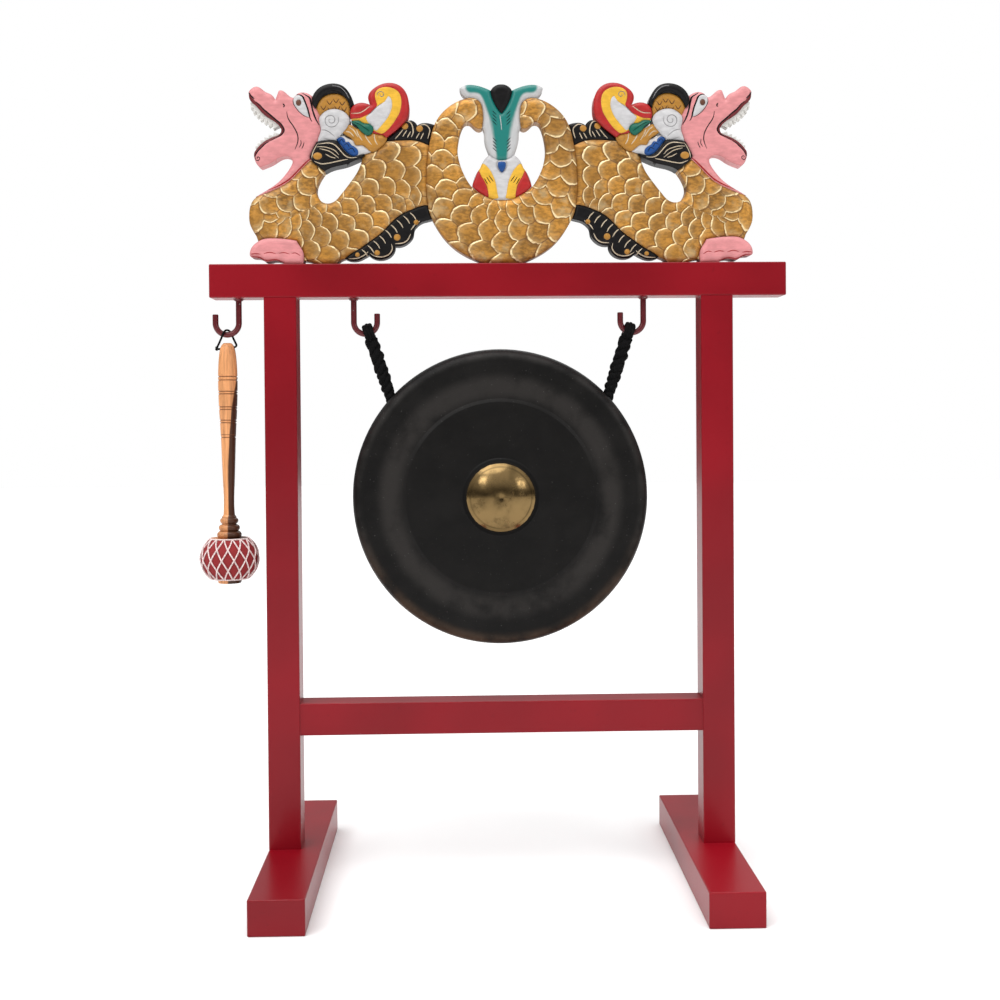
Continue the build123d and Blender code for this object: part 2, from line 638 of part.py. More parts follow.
# ---------------------------------------------------------------- crest, dragons
dragon_pieces = {
    "dragon_head": dict(outlines=[head_outline], half_depth=13,
                        cut_by=[ear_arch_outline, ear_shell_outline, cheek_puff_outline, mane_outline]),
    "dragon_teeth": dict(outlines=[upper_teeth_outline, lower_teeth_outline], half_depth=7,
                         cut_by=[head_outline]),
    "ear_arch": dict(outlines=[ear_arch_outline], half_depth=15),
    "ear_shell": dict(outlines=[ear_shell_outline], half_depth=12,
                      cut_by=[ear_arch_outline, cheek_puff_outline]),
    "cheek_puff": dict(outlines=[cheek_puff_outline], half_depth=15, cut_by=[mane_outline, frill_outline]),
    "horn": dict(outlines=[horn_outline], half_depth=15, cut_by=[leaf_outline]),
    "leaf": dict(outlines=[leaf_outline], half_depth=16),
    "neck_collar": dict(outlines=[neck_collar_outline], half_depth=14,
                        cut_by=[horn_outline, leaf_outline, cheek_puff_outline]),
    "neck_frill": dict(outlines=[frill_outline], half_depth=13, cut_by=[neck_collar_outline]),
    "mane": dict(outlines=[mane_outline], half_depth=15, cut_by=[frill_outline]),
    "back_fin": dict(outlines=[back_fin_outline], half_depth=10, cut_by=[horn_outline, neck_collar_outline],
                     less=tail_coil.part),
    "belly_fin": dict(outlines=[belly_fin_outline], half_depth=11, less=tail_coil.part),
    "claw": dict(outlines=[claw_outline], half_depth=16, pins=[claw_pin]),
    "dragon_body": dict(outlines=[body_outline], half_depth=14, less=tail_coil.part, pins=[body_pin],
                        cut_by=[head_outline, mane_outline, frill_outline, neck_collar_outline,
                                back_fin_outline, belly_fin_outline, claw_outline]),
}
for piece_name, made in dragon_pieces.items():
    made = dict(made)
    made["pins"] = [crest_x - dragon_reach + x for x in made.get("pins", ())]
    left_piece = carved(dragon_front, **made)
    save(left_piece.part, f"left_{piece_name}")
    with BuildPart() as right_piece:
        mirror(left_piece.part, about=Plane.YZ.offset(crest_x))
    save(right_piece.part, f"right_{piece_name}")
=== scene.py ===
"""Looks for the tam tam gong: lacquered stand, hanging gong, netted beater and carved crest."""
from math import atan2, cos, floor, pi, radians, sin, sqrt

import bmesh
import bpy
import numpy as np
from bpy.props import FloatProperty, FloatVectorProperty, IntProperty, PointerProperty
from mathutils import Matrix, Vector
from mathutils.geometry import delaunay_2d_cdt
from mathutils.kdtree import KDTree


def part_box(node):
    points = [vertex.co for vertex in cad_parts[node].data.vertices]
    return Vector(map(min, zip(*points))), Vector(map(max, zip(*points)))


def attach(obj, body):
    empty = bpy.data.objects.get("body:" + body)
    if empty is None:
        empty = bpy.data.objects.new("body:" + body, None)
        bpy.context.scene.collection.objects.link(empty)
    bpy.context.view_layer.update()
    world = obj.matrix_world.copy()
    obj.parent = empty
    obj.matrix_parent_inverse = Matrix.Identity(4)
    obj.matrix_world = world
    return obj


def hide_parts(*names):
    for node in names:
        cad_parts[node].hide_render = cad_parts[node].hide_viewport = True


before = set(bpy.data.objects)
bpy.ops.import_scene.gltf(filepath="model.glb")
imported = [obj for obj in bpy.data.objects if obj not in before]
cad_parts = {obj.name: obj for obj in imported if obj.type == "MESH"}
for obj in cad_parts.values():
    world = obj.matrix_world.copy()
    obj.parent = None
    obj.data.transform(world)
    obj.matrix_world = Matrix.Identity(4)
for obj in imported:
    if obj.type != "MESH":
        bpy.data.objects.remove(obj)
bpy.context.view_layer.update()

bl_info = {
    "name": "Tam tam gong on a dragon stand",
    "version": (1, 0, 0),
    "blender": (4, 5, 0),
    "location": "3D View > Sidebar > Gong",
    "description": "Builds the stand, gong, cords, beater and carved dragons around the packed frame",
    "category": "Object",
}

MM = 0.001


def middle(node):
    """The middle of a CAD node's box."""
    low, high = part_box(node)
    return (Vector(low) + Vector(high)) / 2


BEAM_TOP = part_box("top_beam")[1][2]
CREST_X = middle("tail_coil").x
DRAGON_REACH = 304.5 * MM
GONG_MID = middle("gong")
BEATER_X = middle("beater_handle").x
MID_X = middle("top_beam").x


# ---------------------------------------------------------------- settings
def colour(name, description, value):
    """A colour that the panel shows."""
    return FloatVectorProperty(name=name, description=description, default=value, size=3,
                               subtype="COLOR", min=0.0, max=1.0)


def length(name, description, value):
    """A length that the panel shows, in metres."""
    return FloatProperty(name=name, description=description, default=value, min=0.0, unit="LENGTH",
                         subtype="DISTANCE")


class StandSettings(bpy.types.PropertyGroup):
    """Colours of the timber and the hooks."""
    lacquer: colour("Lacquer", "Red of the timbers", (0.222, 0.002, 0.008))
    hook_paint: colour("Hook paint", "Dark red of the screw hooks", (0.115, 0.008, 0.012))
    bare_wood: colour("Bare wood", "Dowels and pins", (0.52, 0.34, 0.17))


class GongSettings(bpy.types.PropertyGroup):
    """Colours of the gong and the size of its cords."""
    patina: colour("Patina", "Black of the gong's face", (0.0062, 0.0055, 0.0051))
    brass: colour("Brass", "Polished boss", (0.235, 0.155, 0.066))
    cord: colour("Cord", "Black of the cords", (0.0035, 0.0034, 0.0036))
    boss_radius: length("Boss radius", "Radius of the polished boss", 40.6 * MM)
    cord_diameter: length("Cord diameter", "Width of a gong cord", 13 * MM)
    strand_turns: IntProperty(name="Strand turns", description="Turns of the three strands in a gong cord",
                              default=3, min=1, max=12)


class BeaterSettings(bpy.types.PropertyGroup):
    """Colours of the beater, its pad and its net."""
    sapwood: colour("Sapwood", "Pale side of the handle", (0.74, 0.33, 0.135))
    # Dark brown of the handle's shaded side, which is painted shade; also used for the collar, streaks and groove
    # lines.
    dark_brown: colour("Heartwood", "Dark side of the handle", (0.050, 0.017, 0.007))
    cloth: colour("Cloth", "Red cloth under the net", (0.255, 0.016, 0.019))
    net: colour("Net", "Pinkish white net cord", (0.95, 0.74, 0.72))
    net_cords: IntProperty(name="Net cords", description="Net cords each way round the head", default=15,
                           min=6, max=40)
    loop_diameter: length("Loop diameter", "Width of the hanging loop", 2.5 * MM)


class CrestSettings(bpy.types.PropertyGroup):
    """Paints of the carved crest."""
    gold: colour("Gold", "Scales", (0.478, 0.222, 0.034))
    # Cream on the scales' bevels is painted highlight.
    cream: colour("Cream", "Bevelled edges of the scales", (0.90, 0.72, 0.40))
    cream_line: colour("Cream line", "Lines on the fins and the mane", (0.66, 0.55, 0.40))
    # Brown in the cuts is painted shade.
    groove: colour("Groove", "Brown in the cuts", (0.14, 0.055, 0.012))
    pink: colour("Pink", "Heads and claws", (0.68, 0.262, 0.268))
    white: colour("White", "White paint", (0.56, 0.55, 0.555))
    black: colour("Black", "Black paint", (0.0060, 0.0054, 0.0058))
    red: colour("Red", "Horns and petals", (0.42, 0.018, 0.018))
    yellow: colour("Yellow", "Horns and petals", (0.76, 0.43, 0.040))
    blue: colour("Blue", "Frill and drop", (0.009, 0.066, 0.25))
    green: colour("Green", "Leaf behind the cheek", (0.004, 0.125, 0.080))
    teal: colour("Teal", "Plume", (0.004, 0.185, 0.160))
    grain: length("Grain", "Spacing of the carved surface's points", 1.35 * MM)
    scale_width: length("Scale width", "Width of one scale", 20 * MM)
    scale_pitch: length("Scale pitch", "Spacing of the rows of scales", 13.5 * MM)


def settings(name):
    """One group of the scene's settings."""
    return getattr(bpy.context.scene, name)


# ---------------------------------------------------------------- shader writing
class Signal:
    """A shader socket that can be used in arithmetic."""

    def __init__(self, finish, socket):
        self.finish = finish
        self.socket = socket

    def maths(self, operation, *values):
        node = self.finish.node("ShaderNodeMath", {"operation": operation}, dict(enumerate(values)))
        return Signal(self.finish, node.outputs[0])

    def __add__(self, other):
        return self.maths("ADD", self, other)

    def __sub__(self, other):
        return self.maths("SUBTRACT", self, other)

    def __mul__(self, other):
        return self.maths("MULTIPLY", self, other)

    def __truediv__(self, other):
        return self.maths("DIVIDE", self, other)

    def __rsub__(self, other):
        return self.maths("SUBTRACT", other, self)

    def __rtruediv__(self, other):
        return self.maths("DIVIDE", other, self)

    __radd__ = __add__
    __rmul__ = __mul__

    def __lt__(self, other):
        return self.maths("LESS_THAN", self, other)

    def __gt__(self, other):
        return self.maths("GREATER_THAN", self, other)

    def floor(self):
        return self.maths("FLOOR", self)

    def size(self):
        return self.maths("ABSOLUTE", self)

    def root(self):
        return self.maths("SQRT", self)

    def between(self, low, high):
        """0 at low and 1 at high, smooth and held outside."""
        node = self.finish.node("ShaderNodeMapRange", {"interpolation_type": "SMOOTHSTEP"},
                                {0: self, 1: low, 2: high})
        return Signal(self.finish, node.outputs[0])


class Finish:
    """One material and the ways to write its nodes."""

    def __init__(self, name):
        self.material = bpy.data.materials.new(name)
        self.material.use_nodes = True
        self.tree = self.material.node_tree
        self.shader = self.tree.nodes["Principled BSDF"]

    def node(self, kind, facts, sockets):
        """A node of one type, with its facts set first and then its sockets."""
        node = self.tree.nodes.new(kind)
        for key, value in facts.items():
            setattr(node, key, value)
        for key, value in sockets.items():
            self.feed(node.inputs[key], value)
        return node

    def feed(self, socket, value):
        """Sets or links one socket."""
        if isinstance(value, Signal):
            self.tree.links.new(value.socket, socket)
        elif socket.type == "RGBA" and len(value) == 3:
            socket.default_value = (*value, 1.0)
        else:
            socket.default_value = value

    def place(self):
        """The point in the frame, in metres, as three signals and the vector."""
        node = self.node("ShaderNodeTexCoord", {}, {})
        vector = Signal(self, node.outputs["Object"])
        return vector, *self.split(vector)

    def facing(self):
        """The surface's own direction, which turns with the piece, as three signals."""
        node = self.node("ShaderNodeTexCoord", {}, {})
        return self.split(Signal(self, node.outputs["Normal"]))

    def split(self, vector):
        """A vector's three numbers."""
        node = self.node("ShaderNodeSeparateXYZ", {}, {0: vector})
        return [Signal(self, node.outputs[index]) for index in range(3)]

    def join(self, x, y, z):
        """A vector from three numbers."""
        node = self.node("ShaderNodeCombineXYZ", {}, {0: x, 1: y, 2: z})
        return Signal(self, node.outputs[0])

    def stretched(self, vector, scales):
        """A vector multiplied by three numbers."""
        node = self.node("ShaderNodeVectorMath", {"operation": "MULTIPLY"}, {0: vector, 1: scales})
        return Signal(self, node.outputs[0])

    def noise(self, vector, scale, detail=3.0, roughness=0.55):
        """Smooth noise from 0 to 1."""
        node = self.node("ShaderNodeTexNoise", {},
                         {"Vector": vector, "Scale": scale, "Detail": detail, "Roughness": roughness})
        return Signal(self, node.outputs[0])

    def chance(self, vector):
        """One random number for each cell."""
        node = self.node("ShaderNodeTexWhiteNoise", {"noise_dimensions": "3D"}, {"Vector": vector})
        return Signal(self, node.outputs[0])

    def attribute(self, name):
        """A vector that the mesh carries."""
        node = self.node("ShaderNodeAttribute", {"attribute_name": name}, {})
        return Signal(self, node.outputs["Vector"])

    def mix(self, share, first, second):
        """A colour between two colours."""
        node = self.node("ShaderNodeMix", {"data_type": "RGBA"}, {0: share, 6: first, 7: second})
        return Signal(self, node.outputs[2])

    def bump(self, height, depth, strength=1.0):
        """A surface normal from a height from 0 to 1, depth in metres."""
        node = self.node("ShaderNodeBump", {}, {"Strength": strength, "Distance": depth, "Height": height})
        return Signal(self, node.outputs[0])

    def done(self, **sockets):
        """Feeds the surface shader and gives the material."""
        for key, value in sockets.items():
            self.feed(self.shader.inputs[key.replace("_", " ")], value)
        return self.material


def shade(tone, factor):
    """A colour made darker or lighter."""
    return tuple(min(1.0, part * factor) for part in tone)


# ---------------------------------------------------------------- finishes
def red_lacquer():
    """Brushed red gloss lacquer over planed wood, with faint grain and lighter rubbed spots."""
    tone = settings("gong_stand").lacquer
    finish = Finish("red_lacquer")
    vector, x, y, z = finish.place()
    drift = finish.noise(vector, 5.0, 2.0)
    peel = finish.noise(vector, 420.0, 2.0)
    grain = finish.noise(finish.stretched(vector, (9.0, 160.0, 9.0)), 14.0, 4.0)
    base = finish.mix(drift.between(0.35, 0.7), shade(tone, 0.86), shade(tone, 1.16))
    base = finish.mix(grain.between(0.62, 0.8) * 0.35, base, shade(tone, 0.62))
    rough = 0.24 + 0.12 * drift + 0.05 * peel
    return finish.done(Base_Color=base, Roughness=rough, Normal=finish.bump(peel * 0.6 + grain, 0.00012, 0.35),
                       Coat_Weight=0.10, Coat_Roughness=0.14,
                       Specular_IOR_Level=0.22)


def hook_paint():
    """Dark red paint on bent steel wire, rubbed through to metal in places."""
    tone = settings("gong_stand").hook_paint
    finish = Finish("hook_paint")
    vector, x, y, z = finish.place()
    wear = finish.noise(vector, 240.0, 4.0).between(0.66, 0.72)
    base = finish.mix(wear, tone, (0.35, 0.30, 0.28))
    return finish.done(Base_Color=base, Metallic=0.15 + 0.7 * wear, Roughness=0.3 + 0.12 * wear,
                       Normal=finish.bump(finish.noise(vector, 600.0), 0.0001, 0.3))


def plain_metal():
    """Zinc plated steel with fine turning marks."""
    finish = Finish("screw_steel")
    vector, x, y, z = finish.place()
    marks = finish.noise(finish.stretched(vector, (1.0, 1.0, 12.0)), 300.0)
    base = finish.mix(marks, (0.46, 0.46, 0.47), (0.68, 0.68, 0.66))
    return finish.done(Base_Color=base, Metallic=1.0, Roughness=0.28 + 0.15 * marks)


def bare_wood():
    """Unfinished straight-grained dowel."""
    tone = settings("gong_stand").bare_wood
    finish = Finish("dowel_wood")
    vector, x, y, z = finish.place()
    grain = finish.noise(finish.stretched(vector, (60.0, 60.0, 6.0)), 8.0, 5.0)
    base = finish.mix(grain, shade(tone, 0.7), shade(tone, 1.2))
    return finish.done(Base_Color=base, Roughness=0.6 + 0.15 * grain, Normal=finish.bump(grain, 0.0002, 0.4))


def gong_bronze():
    """Black patina with worked rings, a painted sheen band and a painted highlight line by the rim, a polished brass
    boss and brown at the rim.
    """
    look = settings("gong_gong")
    finish = Finish("gong_bronze")
    vector, x, y, z = finish.place()
    off_x, off_z = x - GONG_MID.x, z - GONG_MID.z
    radius = (off_x * off_x + off_z * off_z).root()
    front = (y < -0.5 * 0.026) * (finish.facing()[1] < 0)
    mottle = finish.noise(vector, 26.0, 5.0)
    speck = finish.noise(vector, 210.0, 4.0)
    hammer = finish.noise(vector, 34.0, 2.0)
    polish = (look.boss_radius + 0.0006 - radius + 0.0012 * (speck - 0.5)).between(0.0, 0.0007) * front
    lip = (1 - (radius - look.boss_radius - 0.0016).size() / 0.0016).between(0.0, 1.0) * front
    flat = (0.117 - radius + 0.004 * (mottle - 0.5)).between(0.0, 0.004)
    rim = (radius - 0.160).between(0.0, 0.014)
    dark = finish.mix(mottle.between(0.3, 0.75), shade(look.patina, 0.45), shade(look.patina, 1.2))
    dark = finish.mix(flat * 0.35, dark, shade(look.patina, 1.1))
    # Painted sheen: a lighter band across the face's outer ring zone, where it catches light.
    painted_sheen = (radius - 0.112).between(0.0, 0.016) * (0.152 - radius).between(0.0, 0.016)
    dark = finish.mix(painted_sheen * mottle.between(0.2, 0.6) * 0.9, dark, shade(look.patina, 4.2))
    # Painted highlight: a thin lighter line just inside the rim, where its rounded edge catches light.
    painted_sheen_and_shade = (radius - 0.163).between(0.0, 0.008) * (0.1775 - radius).between(0.0, 0.006) * mottle.between(0.35, 0.7)
    dark = finish.mix(painted_sheen_and_shade * 0.6, dark, shade(look.patina, 5.5))
    dust = finish.noise(vector, 420.0, 2.0).between(0.70, 0.74)
    dark = finish.mix(dust * 0.45, dark, (0.10, 0.095, 0.09))
    brown = rim * (GONG_MID.z - 0.02 - z).between(0.0, 0.12) * mottle.between(0.25, 0.6)
    dark = finish.mix(brown * 0.55, dark, (0.085, 0.045, 0.022))
    stain = finish.noise(vector, 90.0, 4.0).between(0.5, 0.75)
    bright = finish.mix(stain * 0.5, look.brass, shade(look.brass, 0.35))
    edge_ring = (1 - (radius - look.boss_radius + 0.004).size() / 0.0016).between(0.0, 1.0)
    bright = finish.mix(edge_ring * mottle.between(0.2, 0.7) * 0.8, bright, shade(look.brass, 0.22))
    bright = finish.mix(hammer.between(0.42, 0.62) * 0.5, bright, shade(look.brass, 0.4))
    base = finish.mix(polish, dark, bright)
    base = finish.mix(lip * 0.5 * (1 - polish), base, shade(look.brass, 0.18))
    shoulder = (0.0475 - radius).between(0.0, 0.003) * (1 - polish) * front
    base = finish.mix(shoulder * 0.8, base, shade(look.patina, 0.25))
    marks = finish.noise(vector, 62.0, 2.0)
    rough = (0.40 + 0.14 * mottle - 0.05 * flat + 0.35 * shoulder) * (1 - polish) + (0.19 + 0.16 * stain) * polish
    return finish.done(Base_Color=base, Metallic=0.25 + 0.75 * polish, Roughness=rough, Specular_IOR_Level=0.2,
                       Normal=finish.bump(marks * (1 - polish * 0.9) + speck * 0.1 + hammer * polish * 1.6, 0.0012, 0.30))


def cord_finish(name, tone, pitch):
    """Twisted yarn: fine slanting fibres with fuzz."""
    finish = Finish(name)
    vector, x, y, z = finish.place()
    yarn = finish.noise(finish.stretched(vector, (1.0, 1.0, 0.45)), pitch, 3.0)
    fuzz = finish.noise(vector, pitch * 4.5, 2.0)
    base = finish.mix(yarn.between(0.35, 0.7), shade(tone, 0.6), shade(tone, 1.6 if tone[0] < 0.1 else 1.12))
    return finish.done(Base_Color=base, Roughness=0.78 + 0.12 * fuzz, Specular_IOR_Level=0.12,
                       Normal=finish.bump(yarn + 0.5 * fuzz, 0.0006, 0.6))


HANDLE_GROOVES = (606.8, 602.6, 589.0, 586.0, 570.4, 567.4, 554.4, 551.4, 537.0, 533.8)


def beater_wood():
    """Turned handle: pale sapwood, darker down one side as painted shade, oiled."""
    look = settings("gong_beater")
    finish = Finish("beater_wood")
    vector, x, y, z = finish.place()
    grain = finish.noise(finish.stretched(vector, (26.0, 26.0, 1.2)), 12.0, 6.0, 0.62)
    streak = finish.noise(finish.stretched(vector, (60.0, 60.0, 2.0)), 30.0, 3.0)
    # Painted shade: the handle turns dark down its +x side, away from the key light, along a wavy edge.
    rise = ((z - 0.473) / 0.131).maths("MAXIMUM", (z - 0.473) / 0.131, 0.0)
    edge = 0.011 * rise * rise + 0.0022 * (grain - 0.5)
    shaded_side = (x - BEATER_X - edge).between(-0.0006, 0.0009)
    pale = finish.mix(grain.between(0.25, 0.75), shade(look.sapwood, 0.62), shade(look.sapwood, 1.22))
    dark = finish.mix(grain, shade(look.dark_brown, 0.7), shade(look.dark_brown, 1.7))
    base = finish.mix(shaded_side, pale, dark)
    rings = (z.maths("LESS_THAN", z, 0.4385)) * (z.maths("GREATER_THAN", z, 0.4120))
    base = finish.mix(rings * 0.3, base, shade(look.dark_brown, 1.6))
    base = finish.mix(streak.between(0.62, 0.8) * 0.3, base, shade(look.dark_brown, 1.2))
    # Darker brown along each turned groove.
    for groove in HANDLE_GROOVES:
        groove_dark = 1 - ((z - groove * MM).size() / (0.9 * MM)).between(0.5, 1.0)
        base = finish.mix(groove_dark * 0.6, base, shade(look.dark_brown, 2.6))
    return finish.done(Base_Color=base, Roughness=0.36 + 0.14 * streak, Coat_Weight=0.08,
                       Specular_IOR_Level=0.28,
                       Normal=finish.bump(streak, 0.0002, 0.3))


def pad_cloth():
    """Felted red cloth, pulled tight."""
    tone = settings("gong_beater").cloth
    finish = Finish("pad_cloth")
    vector, x, y, z = finish.place()
    felt = finish.noise(vector, 900.0, 4.0)
    drift = finish.noise(vector, 70.0)
    base = finish.mix(felt * 0.6 + drift * 0.4, shade(tone, 0.62), shade(tone, 1.4))
    return finish.done(Base_Color=base, Roughness=0.85 + 0.1 * felt, Normal=finish.bump(felt, 0.0005, 0.7))


def brush_paint(name, tone, depth=0.00016, rough=0.34):
    """Hand-brushed semi-gloss paint on carved wood: brush drift, with painted shade in the cuts and close to the
    outline.
    """
    finish = Finish(name)
    vector, x, y, z = finish.place()
    # The carving's facts, which drive the painted shade below.
    painted_sheen_and_shade = finish.attribute("carving")
    near, cut, spare = finish.split(painted_sheen_and_shade)
    strokes = finish.noise(finish.stretched(vector, (1.0, 1.0, 2.6)), 95.0, 4.0)
    drift = finish.noise(vector, 34.0, 3.0)
    light = 1.07 if max(tone) > 0.1 else 1.5
    base = finish.mix(strokes.between(0.3, 0.72), shade(tone, 0.88), shade(tone, light))
    base = finish.mix(drift.between(0.5, 0.8) * 0.18, base, shade(tone, 0.74))
    # Painted shade: darker in the cuts and close to the piece's outline, where the carving rounds down into the gaps
    # between pieces.
    base = finish.mix(cut * 0.5, base, shade(tone, 0.45))
    base = finish.mix((1 - near.between(0.0, 1.6)) * 0.28, base, shade(tone, 0.55))
    return finish.done(Base_Color=base, Roughness=rough + 0.16 * drift,
                       Specular_IOR_Level=0.3 if max(tone) > 0.1 else 0.16, Normal=finish.bump(strokes, depth, 0.5))


def scale_field(along, across, rows, width, bulge, floored, sized):
    """Where a point lies in overlapping rows of scales, for numbers, arrays or shader signals alike.

    Gives the distance back from the free edge, the distance past the edge of the row underneath,
    the distance to the side of its scale and the cell's two numbers."""
    row = floored(along / rows)
    local = along - row * rows
    odd = row - 2 * floored(row / 2)

    def arc(parity):
        cell = floored(across / width + 0.5 * parity)
        slot = across / width + 0.5 * parity - cell - 0.5
        return cell, slot, bulge * (1 - 4 * slot * slot)

    own_cell, own_slot, own_edge = arc(odd)
    next_cell, next_slot, next_edge = arc(1 - odd)
    upper = (local < own_edge) * 1.0
    lower = 1 - upper
    to_edge = upper * (own_edge - local) + lower * (rows + next_edge - local)
    past_edge = upper * (local + rows - next_edge) + lower * (local - own_edge)
    slot = upper * sized(own_slot) + lower * sized(next_slot)
    cell = upper * own_cell + lower * next_cell
    return to_edge, past_edge, (0.5 - slot) * width, row + lower, cell


BULGE_SHARE = 0.46
COIL_COARSE = 1.34
BODY_COARSE = 1.22


def gold_scales():
    """Aged gold paint on cut scales: cream bevels that are painted highlight, brown cuts and shadows that are painted
    shade, and a tone of its own for each scale.
    """
    look = settings("gong_crest")
    rows, width = look.scale_pitch / MM, look.scale_width / MM
    finish = Finish("gold_scales")
    vector, x, y, z = finish.place()
    along, across, spare = finish.split(finish.attribute("flow"))
    near, cut, ignored = finish.split(finish.attribute("carving"))
    wobble = finish.noise(vector, 75.0, 2.0) - 0.5
    to_edge, past_edge, to_side, row, cell = scale_field(
        along + 3.0 * wobble, across + 3.4 * wobble, rows, width, rows * BULGE_SHARE, Signal.floor, Signal.size)
    tone = finish.chance(finish.join(row, cell, 0.0))
    brush = finish.noise(finish.stretched(vector, (1.0, 1.0, 1.8)), 170.0, 4.0)
    patch = finish.noise(vector, 48.0, 4.0)
    blotch = finish.noise(vector, 14.0, 2.0)
    base = finish.mix(tone * 0.5 + brush.between(0.36, 0.64) * 0.5, shade(look.gold, 0.42), shade(look.gold, 1.42))
    scratch = finish.noise(finish.stretched(vector, (1.0, 1.0, 3.0)), 230.0, 3.0).between(0.58, 0.68)
    base = finish.mix(scratch * 0.35, base, shade(look.groove, 1.5))
    base = finish.mix(blotch.between(0.45, 0.62) * 0.45, base, shade(look.gold, 0.48))
    base = finish.mix(patch.between(0.54, 0.74) * 0.45, base, shade(look.cream, 0.66))
    # Painted highlight: lighter within 8 mm of each scale's raised free edge.
    base = finish.mix((1 - to_edge.between(0.0, 8.0)) * 0.20, base, shade(look.cream, 0.8))
    # Painted shadow: dark just past each free edge, on the scale beneath.
    painted_shadow = 1 - past_edge.between(0.2, 2.2)
    base = finish.mix(painted_shadow * 0.75, base, look.groove)
    # Painted highlight: a broken cream line where the bevel at each free edge catches light.
    bevel_highlight = (1 - to_edge.between(0.9, 1.8)) * finish.noise(vector, 120.0).between(0.34, 0.52)
    base = finish.mix(bevel_highlight, base, look.cream)
    # Painted shade: dark in the side cuts between scales.
    side = (1 - to_side.between(0.15, 0.75)) * to_edge.between(0.5, 1.6)
    base = finish.mix(side * 0.75, base, look.groove)
    # Painted shade: darker close to the piece's outline.
    base = finish.mix((1 - near.between(0.0, 2.0)) * 0.4, base, shade(look.groove, 1.6))
    height = 0.6 * to_edge.between(-0.1, 1.2) + 0.3 * brush + 0.5 * past_edge.between(0.0, 1.0)
    return finish.done(Base_Color=base, Metallic=0.22 + 0.2 * tone, Roughness=0.36 + 0.18 * brush,
                       Normal=finish.bump(height - 0.5 * side, 0.0007, 0.6))


def plume_paint():
    """Teal shading out to white at the plume's edges."""
    look = settings("gong_crest")
    finish = Finish("plume_paint")
    vector, x, y, z = finish.place()
    near, cut, fade = finish.split(finish.attribute("carving"))
    brush = finish.noise(finish.stretched(vector, (2.0, 1.0, 1.0)), 120.0, 4.0)
    share = (fade + 0.18 * (brush - 0.5)).between(0.1, 0.9)
    base = finish.mix(share, shade(look.white, 0.98), look.teal)
    base = finish.mix(brush * 0.2, base, shade(look.teal, 0.6))
    # Painted shade: dark teal in the cuts.
    base = finish.mix(cut * 0.6, base, shade(look.teal, 0.25))
    return finish.done(Base_Color=base, Roughness=0.33 + 0.14 * brush, Normal=finish.bump(brush, 0.0002, 0.5))


# ---------------------------------------------------------------- mesh helpers
def new_piece(name, vertices, faces, materials, face_paints=None, sharp=radians(38)):
    """A mesh object with soft shading and sharp edges where it turns steeply."""
    mesh = bpy.data.meshes.new(name)
    mesh.from_pydata([tuple(vertex) for vertex in vertices], [], faces)
    for material in materials:
        mesh.materials.append(material)
    if face_paints is not None:
        mesh.polygons.foreach_set("material_index", face_paints)
    shaped = bmesh.new()
    shaped.from_mesh(mesh)
    bmesh.ops.recalc_face_normals(shaped, faces=shaped.faces)
    for face in shaped.faces:
        face.smooth = True
    for edge in shaped.edges:
        edge.smooth = edge.calc_face_angle(0.0) < sharp
    shaped.to_mesh(mesh)
    shaped.free()
    piece = bpy.data.objects.new(name, mesh)
    bpy.context.collection.objects.link(piece)
    return piece


def put_on(piece, body, slot, *nodes):
    """Makes a piece ride on a body and stand for its CAD nodes."""
    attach(piece, body)
    if nodes:
        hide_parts(*nodes)
    return piece


def finish_node(node, material):
    """Gives a CAD node its material."""
    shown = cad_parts[node]
    shown.data.materials.clear()
    shown.data.materials.append(material)


def tube(points, radii, sides=12, closed=False):
    """Vertices and faces of a round tube along points, with a radius at each."""
    line = [Vector(point) for point in points]
    count = len(line)
    vertices, faces = [], []
    normal = None
    for index, point in enumerate(line):
        ahead = line[(index + 1) % count] if closed else line[min(index + 1, count - 1)]
        behind = line[index - 1] if closed or index else line[0]
        along = (ahead - behind).normalized()
        if normal is None:
            normal = along.orthogonal().normalized()
        normal = (normal - along * normal.dot(along)).normalized()
        across = along.cross(normal)
        for side in range(sides):
            angle = 2 * pi * side / sides
            vertices.append(point + (normal * cos(angle) + across * sin(angle)) * radii[index])
    for index in range(count if closed else count - 1):
        after = (index + 1) % count
        for side in range(sides):
            beside = (side + 1) % sides
            faces.append((index * sides + side, index * sides + beside, after * sides + beside,
                          after * sides + side))
    if not closed:
        faces.append(tuple(range(sides))[::-1])
        faces.append(tuple((count - 1) * sides + side for side in range(sides)))
    return vertices, faces


def joined(parts):
    """Several vertex and face lists as one."""
    vertices, faces = [], []
    for part_vertices, part_faces in parts:
        start = len(vertices)
        vertices += part_vertices
        faces += [tuple(start + index for index in face) for face in part_faces]
    return vertices, faces


def lathe(profile, centre, sides=96):
    """A turned form about a vertical axis from radius and height pairs, open at its ends."""
    vertices = [Vector((centre.x + radius * cos(2 * pi * side / sides), centre.y + radius * sin(2 * pi * side / sides),
                        height)) for radius, height in profile for side in range(sides)]
    faces = []
    for ring in range(len(profile) - 1):
        for side in range(sides):
            beside = (side + 1) % sides
            faces.append((ring * sides + side, ring * sides + beside, (ring + 1) * sides + beside,
                          (ring + 1) * sides + side))
    faces.append(tuple(range(sides))[::-1])
    faces.append(tuple((len(profile) - 1) * sides + side for side in range(sides)))
    return vertices, faces


def nurbs_curve(name, route, resolution=16):
    """A smooth curve with the route's points as its control points."""
    curve = bpy.data.curves.new(name, "CURVE")
    curve.dimensions = "3D"
    curve.resolution_u = resolution
    spline = curve.splines.new("NURBS")
    spline.points.add(len(route) - 1)
    for point, place in zip(spline.points, route):
        point.co = (*place, 1.0)
    spline.order_u = 3
    spline.use_endpoint_u = True
    return curve


